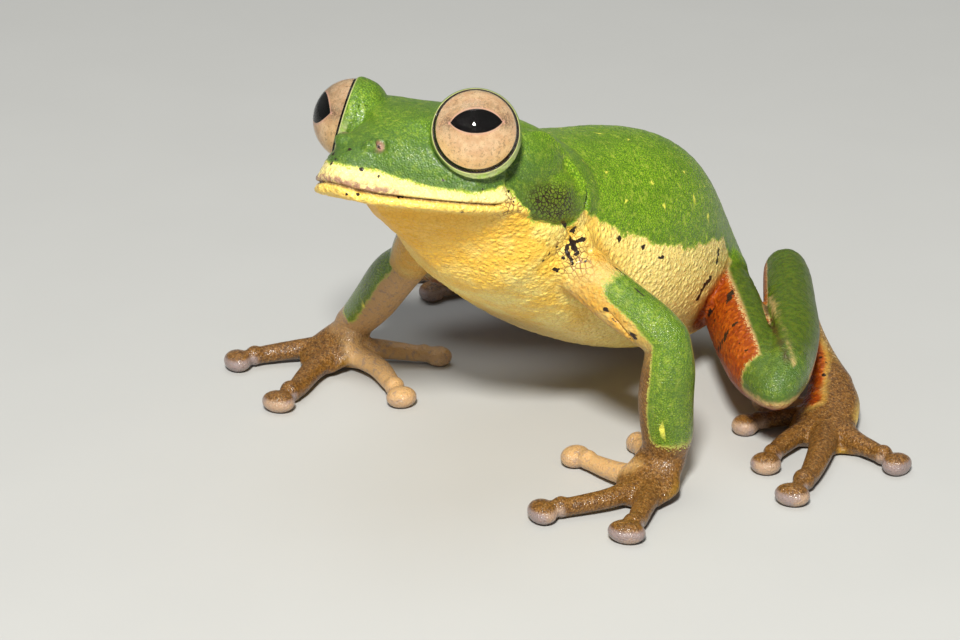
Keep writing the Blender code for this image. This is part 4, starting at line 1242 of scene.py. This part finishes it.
def greenSkin(n):
    # fine granules, deeper between them, with paler patches
    c = skinColours
    green = n.mix(n.span(n.grainEdge, 0.02, 0.22), c["greenDeep"], c["green"])
    green = n.mix(n.span(n.mid, 0.50, 0.74, 0, 0.75), green, c["greenPale"])
    green = n.mix(n.span(n.broad, 0.35, 0.60, 0.35, 0), green, c["greenDeep"])
    deep = n.sums("MULTIPLY", n.layer("deep"), n.span(n.mid, 0.35, 0.62, 0.90, 0.66))
    green = n.mix(deep, green, c["greenHead"])
    green = n.mix(n.sums("MULTIPLY", n.layer("shade"), 0.62), green, c["jaw"])
    olive = n.mix(n.span(n.mid, 0.40, 0.62), c["oliveDeep"], c["olive"])
    olive = n.mix(n.span(n.grainEdge, 0.02, 0.20, 0.6, 0), olive, c["greenDeep"])
    green = n.mix(n.layer("olive"), green, olive)
    net = n.span(n.cells(0.27, "DISTANCE_TO_EDGE"), 0.17, 0.03)
    net = n.sums("MULTIPLY", n.span(n.layer("shade"), 0.25, 0.8), net)
    return n.mix(net, green, c["dark"])


def paleSkin(n):
    # cobbled underside with painted shade low on the belly, the orange flash of the thigh and the lips
    c = skinColours
    belly = n.mix(n.span(n.broad, 0.38, 0.62), c["belly"], c["bellyPale"])
    belly = n.mix(n.sums("MULTIPLY", n.layer("warm"), 0.8), belly, c["throat"])
    # painted shade on the underside below the chest fold
    belly = n.mix(n.layer("belly"), belly, c["bellyUnderShade"])
    flank = n.mix(n.span(n.mid, 0.40, 0.60, 0, 0.5), c["flank"], c["bellyPale"])
    colour = n.mix(n.layer("flank"), belly, flank)
    colour = n.mix(n.span(n.stoneEdge, 0.10, 0.0, 0, 0.42), colour, c["seam"])
    flash = n.mix(n.span(n.mid, 0.42, 0.62, 0, 0.55), c["flash"], c["flashPale"])
    colour = n.mix(n.layer("flash"), colour, flash)
    lip = n.mix(n.span(n.mid, 0.48, 0.66, 0, 0.35), c["lip"], c["lowLip"])
    colour = n.mix(n.layer("lip"), colour, lip)
    low = n.mix(n.span(n.fine, 0.45, 0.65, 0, 0.5), c["lowLip"], c["lip"])
    colour = n.mix(n.layer("lowLip"), colour, low)
    patch = n.sums("MULTIPLY", n.layer("mauve"), n.span(n.mid, 0.36, 0.52, 0.35, 1.0))
    colour = n.mix(patch, colour, c["mauve"])
    cracks = n.sums("MULTIPLY", n.layer("crack"), n.span(n.stoneEdge, 0.12, 0.03))
    cracks = n.sums("MULTIPLY", cracks, n.span(n.broad, 0.40, 0.55, 0.25, 1.0))
    return n.mix(cracks, colour, c["mouth"])


def handSkin(n, colour):
    # hands and feet: brown, dusted with gold, with paler inner digits; the same pale colour is painted
    # light on the right forearm
    c = skinColours
    hand = n.mix(n.span(n.noise(0.24, 4, 0.62), 0.36, 0.62, 0.15, 0.95), c["hand"], c["handGold"])
    hand = n.mix(n.span(n.fine, 0.50, 0.70, 0, 0.55), hand, c["handPale"])
    hand = n.mix(n.span(n.mid, 0.42, 0.34, 0, 0.50), hand, c["hand"])
    hand = n.mix(n.span(n.grainEdge, 0.07, 0.0, 0, 0.4), hand, c["hand"])
    colour = n.mix(n.layer("hand"), colour, hand)
    peach = n.mix(n.span(n.mid, 0.52, 0.66, 0, 0.6), c["paleDigitAndForearmLight"], c["pad"])
    return n.mix(n.layer("paleDigitAndForearmLight"), colour, peach)


def smallParts(n, colour):
    # seams, painted shade in the leg's crease and inside the eye socket, mouth, pads, lids and the
    # marks lie over everything else
    c = skinColours
    colour = n.mix(n.layer("nostril"), colour, c["nostril"])
    seam = n.sums("MULTIPLY", n.layer("seam"), n.span(n.mid, 0.36, 0.52, 0.3, 0.9))
    colour = n.mix(seam, colour, c["creamBrown"])
    # painted shade in the crease between thigh and shank
    colour = n.mix(n.sums("MULTIPLY", n.layer("paintedCreaseShade"), 0.85), colour, c["creaseShadeBrown"])
    colour = n.mix(n.layer("mouth"), colour, c["mouth"])
    pad = n.mix(n.span(n.broad, 0.42, 0.60, 0, 0.45), c["pad"], c["paleDigitAndForearmLight"])
    pad = n.mix(n.span(n.fine, 0.56, 0.70, 0, 0.25), pad, c["padTop"])
    colour = n.mix(n.layer("pad"), colour, pad)
    lid = n.mix(n.span(n.mid, 0.45, 0.65, 0, 0.6), c["lid"], c["green"])
    colour = n.mix(n.layer("lid"), colour, lid)
    colour = n.mix(n.layer("lidRim"), colour, c["lidRim"])
    colour = n.mix(n.layer("yellow"), colour, c["yellow"])
    colour = n.mix(n.span(n.layer("dark"), 0.40, 0.60), colour, c["dark"])
    # painted shade inside the eye socket
    return n.mix(n.layer("inside"), colour, c["inside"])


def skinRelief(n, inGreen):
    # broad granules on the pale skin, fine ones everywhere, finest on wet skin
    cobble = n.sums("MULTIPLY", n.span(n.stone, 0.0, 0.62, 1.0, 0.0),
                    n.span(inGreen, 0, 1, 1.0, 0.25))
    calm = n.sums("MAXIMUM", n.layer("pad"), n.layer("paleDigitAndForearmLight"))
    calm = n.sums("MAXIMUM", n.layer("hand"), calm)
    cobble = n.sums("MULTIPLY", cobble, n.span(calm, 0, 1, 1.0, 0.12))
    relief = n.bump(cobble, 0.075)
    relief = n.bump(n.span(n.grainCell, 0.0, 0.7, 1.0, 0.0), 0.030, relief)
    spark = n.sums("MULTIPLY", n.layer("wet"), n.noise(0.11, 2))
    return n.bump(spark, 0.11, relief)


def skinMaterial():
    n = Nodes("frogSkinWet")
    c = skinColours
    n.fine, n.mid, n.broad = n.noise(0.13, 2), n.noise(0.40, 4), n.noise(2.2, 3)
    n.grainCell, n.grainEdge = n.cells(0.17), n.cells(0.17, "DISTANCE_TO_EDGE")
    n.stone, n.stoneEdge = n.cells(0.40), n.cells(0.40, "DISTANCE_TO_EDGE")
    # the green ends in a thin paler rim, with a grainy outline
    edge = n.sums("ADD", n.layer("green"), n.span(n.fine, 0.2, 0.8, -0.30, 0.30))
    inGreen = n.span(edge, 0.40, 0.60)
    rim = n.mix(n.layer("olive"), c["greenPale"], c["creamBrown"])
    rim = n.mix(n.span(n.layer("green"), 0.52, 0.85), rim, greenSkin(n))
    colour = n.mix(inGreen, handSkin(n, paleSkin(n)), rim)
    relief = skinRelief(n, inGreen)
    gloss = n.span(n.layer("wet"), 0.0, 1.0, 0.46, 0.24)
    film = n.span(n.layer("wet"), 0.0, 0.8, 0.12, 0.55)
    return n.put(Base_Color=smallParts(n, colour), Roughness=gloss, Normal=relief,
                 Coat_Normal=relief, Coat_Weight=film, Coat_Roughness=0.09,
                 Specular_IOR_Level=0.32, Subsurface_Weight=0.10,
                 Subsurface_Radius=(1.0, 0.45, 0.2), Subsurface_Scale=0.0007)


def finishPiece(name, bm, material, slot, *nodes):
    for face in bm.faces:
        face.smooth = True
    mesh = bpy.data.meshes.new(name)
    bm.to_mesh(mesh)
    bm.free()
    mesh.transform(toRow)
    mesh.materials.append(material)
    piece = addObject(name, mesh)
    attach(piece, "root")
    if nodes:
        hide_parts(*nodes)
    return piece


def turnedForm(word, profile, segments=96):
    # rings round the eye's axis: (ahead along the axis, radius)
    centre, axis, side, up = eyeFrame(word)
    bm = bmesh.new()
    loops = []
    for ahead, radius in profile:
        verts = bmesh.ops.create_circle(bm, segments=segments, radius=radius)["verts"]
        for vert in verts:
            vert.co = centre + axis * ahead + side * vert.co.x + up * vert.co.y
        loops.append(edgesOf(verts))
    for first, second in zip(loops, loops[1:]):
        bmesh.ops.bridge_loops(bm, edges=first + second)
    for loop in (loops[0], loops[-1]):
        bmesh.ops.contextual_create(bm, geom=loop)
    bmesh.ops.recalc_face_normals(bm, faces=bm.faces)
    return bm


eyeColours = {
    "iris": (0.84, 0.52, 0.28), "irisPale": (0.95, 0.68, 0.40), "amber": (0.92, 0.60, 0.20),
    "thread": (0.34, 0.15, 0.07), "speck": (0.42, 0.20, 0.09), "haze": (0.17, 0.085, 0.055),
    "pupilRim": (0.85, 0.50, 0.36), "pupil": (0.004, 0.003, 0.003),
}


def eyeballMaterial():
    n = Nodes("frogIris")
    c = eyeColours
    fine, veins = n.noise(0.10, 3), n.cells(0.16, "DISTANCE_TO_EDGE")
    iris = n.mix(n.span(n.noise(0.5, 3), 0.35, 0.65), c["iris"], c["irisPale"])
    iris = n.mix(n.layer("amber"), iris, c["amber"])
    thread = n.sums("MULTIPLY", n.span(n.noise(0.22, 4, 0.7), 0.54, 0.66),
                    n.span(n.layer("speckle"), 0, 1, 0.15, 0.6))
    iris = n.mix(thread, iris, c["thread"])
    iris = n.mix(n.span(fine, 0.54, 0.70, 0, 0.38), iris, c["speck"])
    haze = n.sums("MULTIPLY", n.layer("smudge"), n.span(n.noise(0.12, 3), 0.36, 0.58, 0.35, 1.0))
    iris = n.mix(haze, iris, c["haze"])
    iris = n.mix(n.layer("pupilRim"), iris, c["pupilRim"])
    colour = n.mix(n.span(n.layer("black"), 0.45, 0.55), iris, c["pupil"])
    return n.put(Base_Color=colour, Roughness=0.6, Specular_IOR_Level=0.08,
                 Normal=n.bump(veins, 0.02))


def makeEyeball(word):
    centre, axis, side, up = eyeFrame(word)
    deep, shallow, rim = eyePlan["iris"]
    profile = [*eyePlan["ballBack"], (deep - 0.02, rim)]
    for share in np.linspace(0.985, 0.02, 60):
        profile.append((deep + (shallow - deep) * (1 - share ** 2.3), rim * share))
    bm = turnedForm(word, profile, 192)
    ball = finishPiece("eyeball_" + word, bm, eyeballMaterial(), "eye", "eye_" + word)
    points = (readPoints(ball.data) / mm - rowShift) - centre
    ahead, x, y = points @ axis, points @ side, points @ up
    away = np.hypot(x, y) / rim
    turn = math.radians(eyePlan["pupilTurn"][word])
    x, y = x * math.cos(turn) + y * math.sin(turn), y * math.cos(turn) - x * math.sin(turn)
    a, b = eyePlan["pupilHalf"][word]
    yy = y - eyePlan["pupilLift"][word]
    wide = np.clip(1 - (np.abs(x) / a) ** 2.2, 0, 1) ** 0.8
    reach = np.abs(yy) - b * wide
    front = ahead > deep - 0.01
    layers = {
        "black": np.maximum(smooth(0.03, -0.03, reach) * front,
                            np.maximum(smooth(0.912, 0.932, away), 1.0 * ~front)),
        "pupilRim": bump(reach - 0.045, 0.05) * (reach > 0) * (np.abs(x) < a * 1.1),
        "smudge": (0.85 * bump(yy - 0.1, 0.50) * bump((np.abs(x) - a - 0.15) / 0.6, 1.0)
                   + 0.45 * bump(yy - 0.95, 0.40) * bump(x, 1.7)),
        "amber": 0.5 * smooth(0.5, 0.95, away) * smooth(0.2, -1.2, y),
        "speckle": smooth(0.35, 0.80, away),
    }
    writeLayers(ball.data, layers)


def makeCornea(word):
    deep, rim = eyePlan["iris"][0], eyePlan["iris"][2]
    middle, radius = eyePlan["cornea"]
    ahead, across = eyePlan["limbus"]
    dome = [(deep + 0.02, rim + 0.005)]
    start = math.acos((ahead - 0.05 - middle) / radius)
    for a in np.linspace(start, 0.03, 34):
        dome.append((middle + radius * math.cos(a), min(radius * math.sin(a), across)))
    bm = turnedForm(word, dome, 96)
    n = Nodes("frogCornea")
    glass = n.put(Base_Color=(1, 1, 1, 1), Roughness=0.0, IOR=1.34, Transmission_Weight=1.0)
    finishPiece("cornea_" + word, bm, glass, "eye")


floorPlan = {"size": 2.0, "patch": 14.0, "colours": ((0.46, 0.46, 0.445), (0.485, 0.485, 0.47))}


def floorMaterial():
    n = Nodes("paleFloor")
    colour = n.mix(n.noise(floorPlan["patch"], 2), *floorPlan["colours"])
    return n.put(Base_Color=colour, Roughness=0.8)


def makeStage():
    bm = bmesh.new()
    bmesh.ops.create_grid(bm, x_segments=1, y_segments=1, size=floorPlan["size"])
    mesh = bpy.data.meshes.new("studioFloor")
    bm.to_mesh(mesh)
    bm.free()
    mesh.materials.append(floorMaterial())
    addObject("studioFloor", mesh)


studioPlan = {
    "camera": (0.148688, -0.165561, 0.100995), "target": (0.000451, -0.008088, 0.009056),
    "roll": -0.76, "lens": 131.25,
    # name, place, size, power, colour
    "lamps": [("keyLight", (0.215, -0.270, 0.345), 0.07, 3.7, (1.0, 0.985, 0.94)),
              ("topLight", (-0.10, 0.05, 0.50), 0.40, 0.6, (0.97, 0.99, 1.0))],
    "sky": (0.16, (0.94, 0.97, 1.0)),
}


def aim(thing, place, target, roll=0.0):
    turn = (Vector(target) - Vector(place)).to_track_quat("-Z", "Y").to_matrix().to_4x4()
    thing.matrix_world = (Matrix.Translation(Vector(place)) @ turn
                          @ Matrix.Rotation(math.radians(roll), 4, "Z"))


def makeCameraAndLights():
    data = bpy.data.cameras.new("studioCamera")
    data.lens, data.sensor_width, data.clip_start = studioPlan["lens"], 36.0, 0.01
    camera = addObject("studioCamera", data)
    aim(camera, studioPlan["camera"], studioPlan["target"], studioPlan["roll"])
    bpy.context.scene.camera = camera
    for name, place, size, power, colour in studioPlan["lamps"]:
        lamp = bpy.data.lights.new(name, "AREA")
        lamp.shape, lamp.size, lamp.energy, lamp.color = "DISK", size, power, colour
        aim(addObject(name, lamp), place, studioPlan["target"])
    world = bpy.data.worlds.new("studioWorld")
    world.use_nodes = True
    sky = world.node_tree.nodes["Background"]
    sky.inputs[0].default_value = (*studioPlan["sky"][1], 1)
    sky.inputs[1].default_value = studioPlan["sky"][0]
    bpy.context.scene.world = world
    bpy.context.scene.view_settings.view_transform = "Standard"


skin = growFlesh()
print("flesh grown,", len(skin.data.polygons), "faces")
shapeSkin(skin)
refine(skin.data, lidZone(readPoints(skin.data)))
for word in ("left", "right"):
    setEyelid(skin, word)
refineMarks(skin.data)
paintLayers(skin.data)
skin.data.transform(toRow)
skin.data.materials.append(skinMaterial())
skin.data.shade_smooth()
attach(skin, "root")
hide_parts(*[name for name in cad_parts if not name.startswith("eye_")])
print("skin painted,", sum(len(p.vertices) - 2 for p in skin.data.polygons), "triangles")
for word in ("left", "right"):
    makeEyeball(word)
    makeCornea(word)
print("eyes made")
makeStage()
makeCameraAndLights()
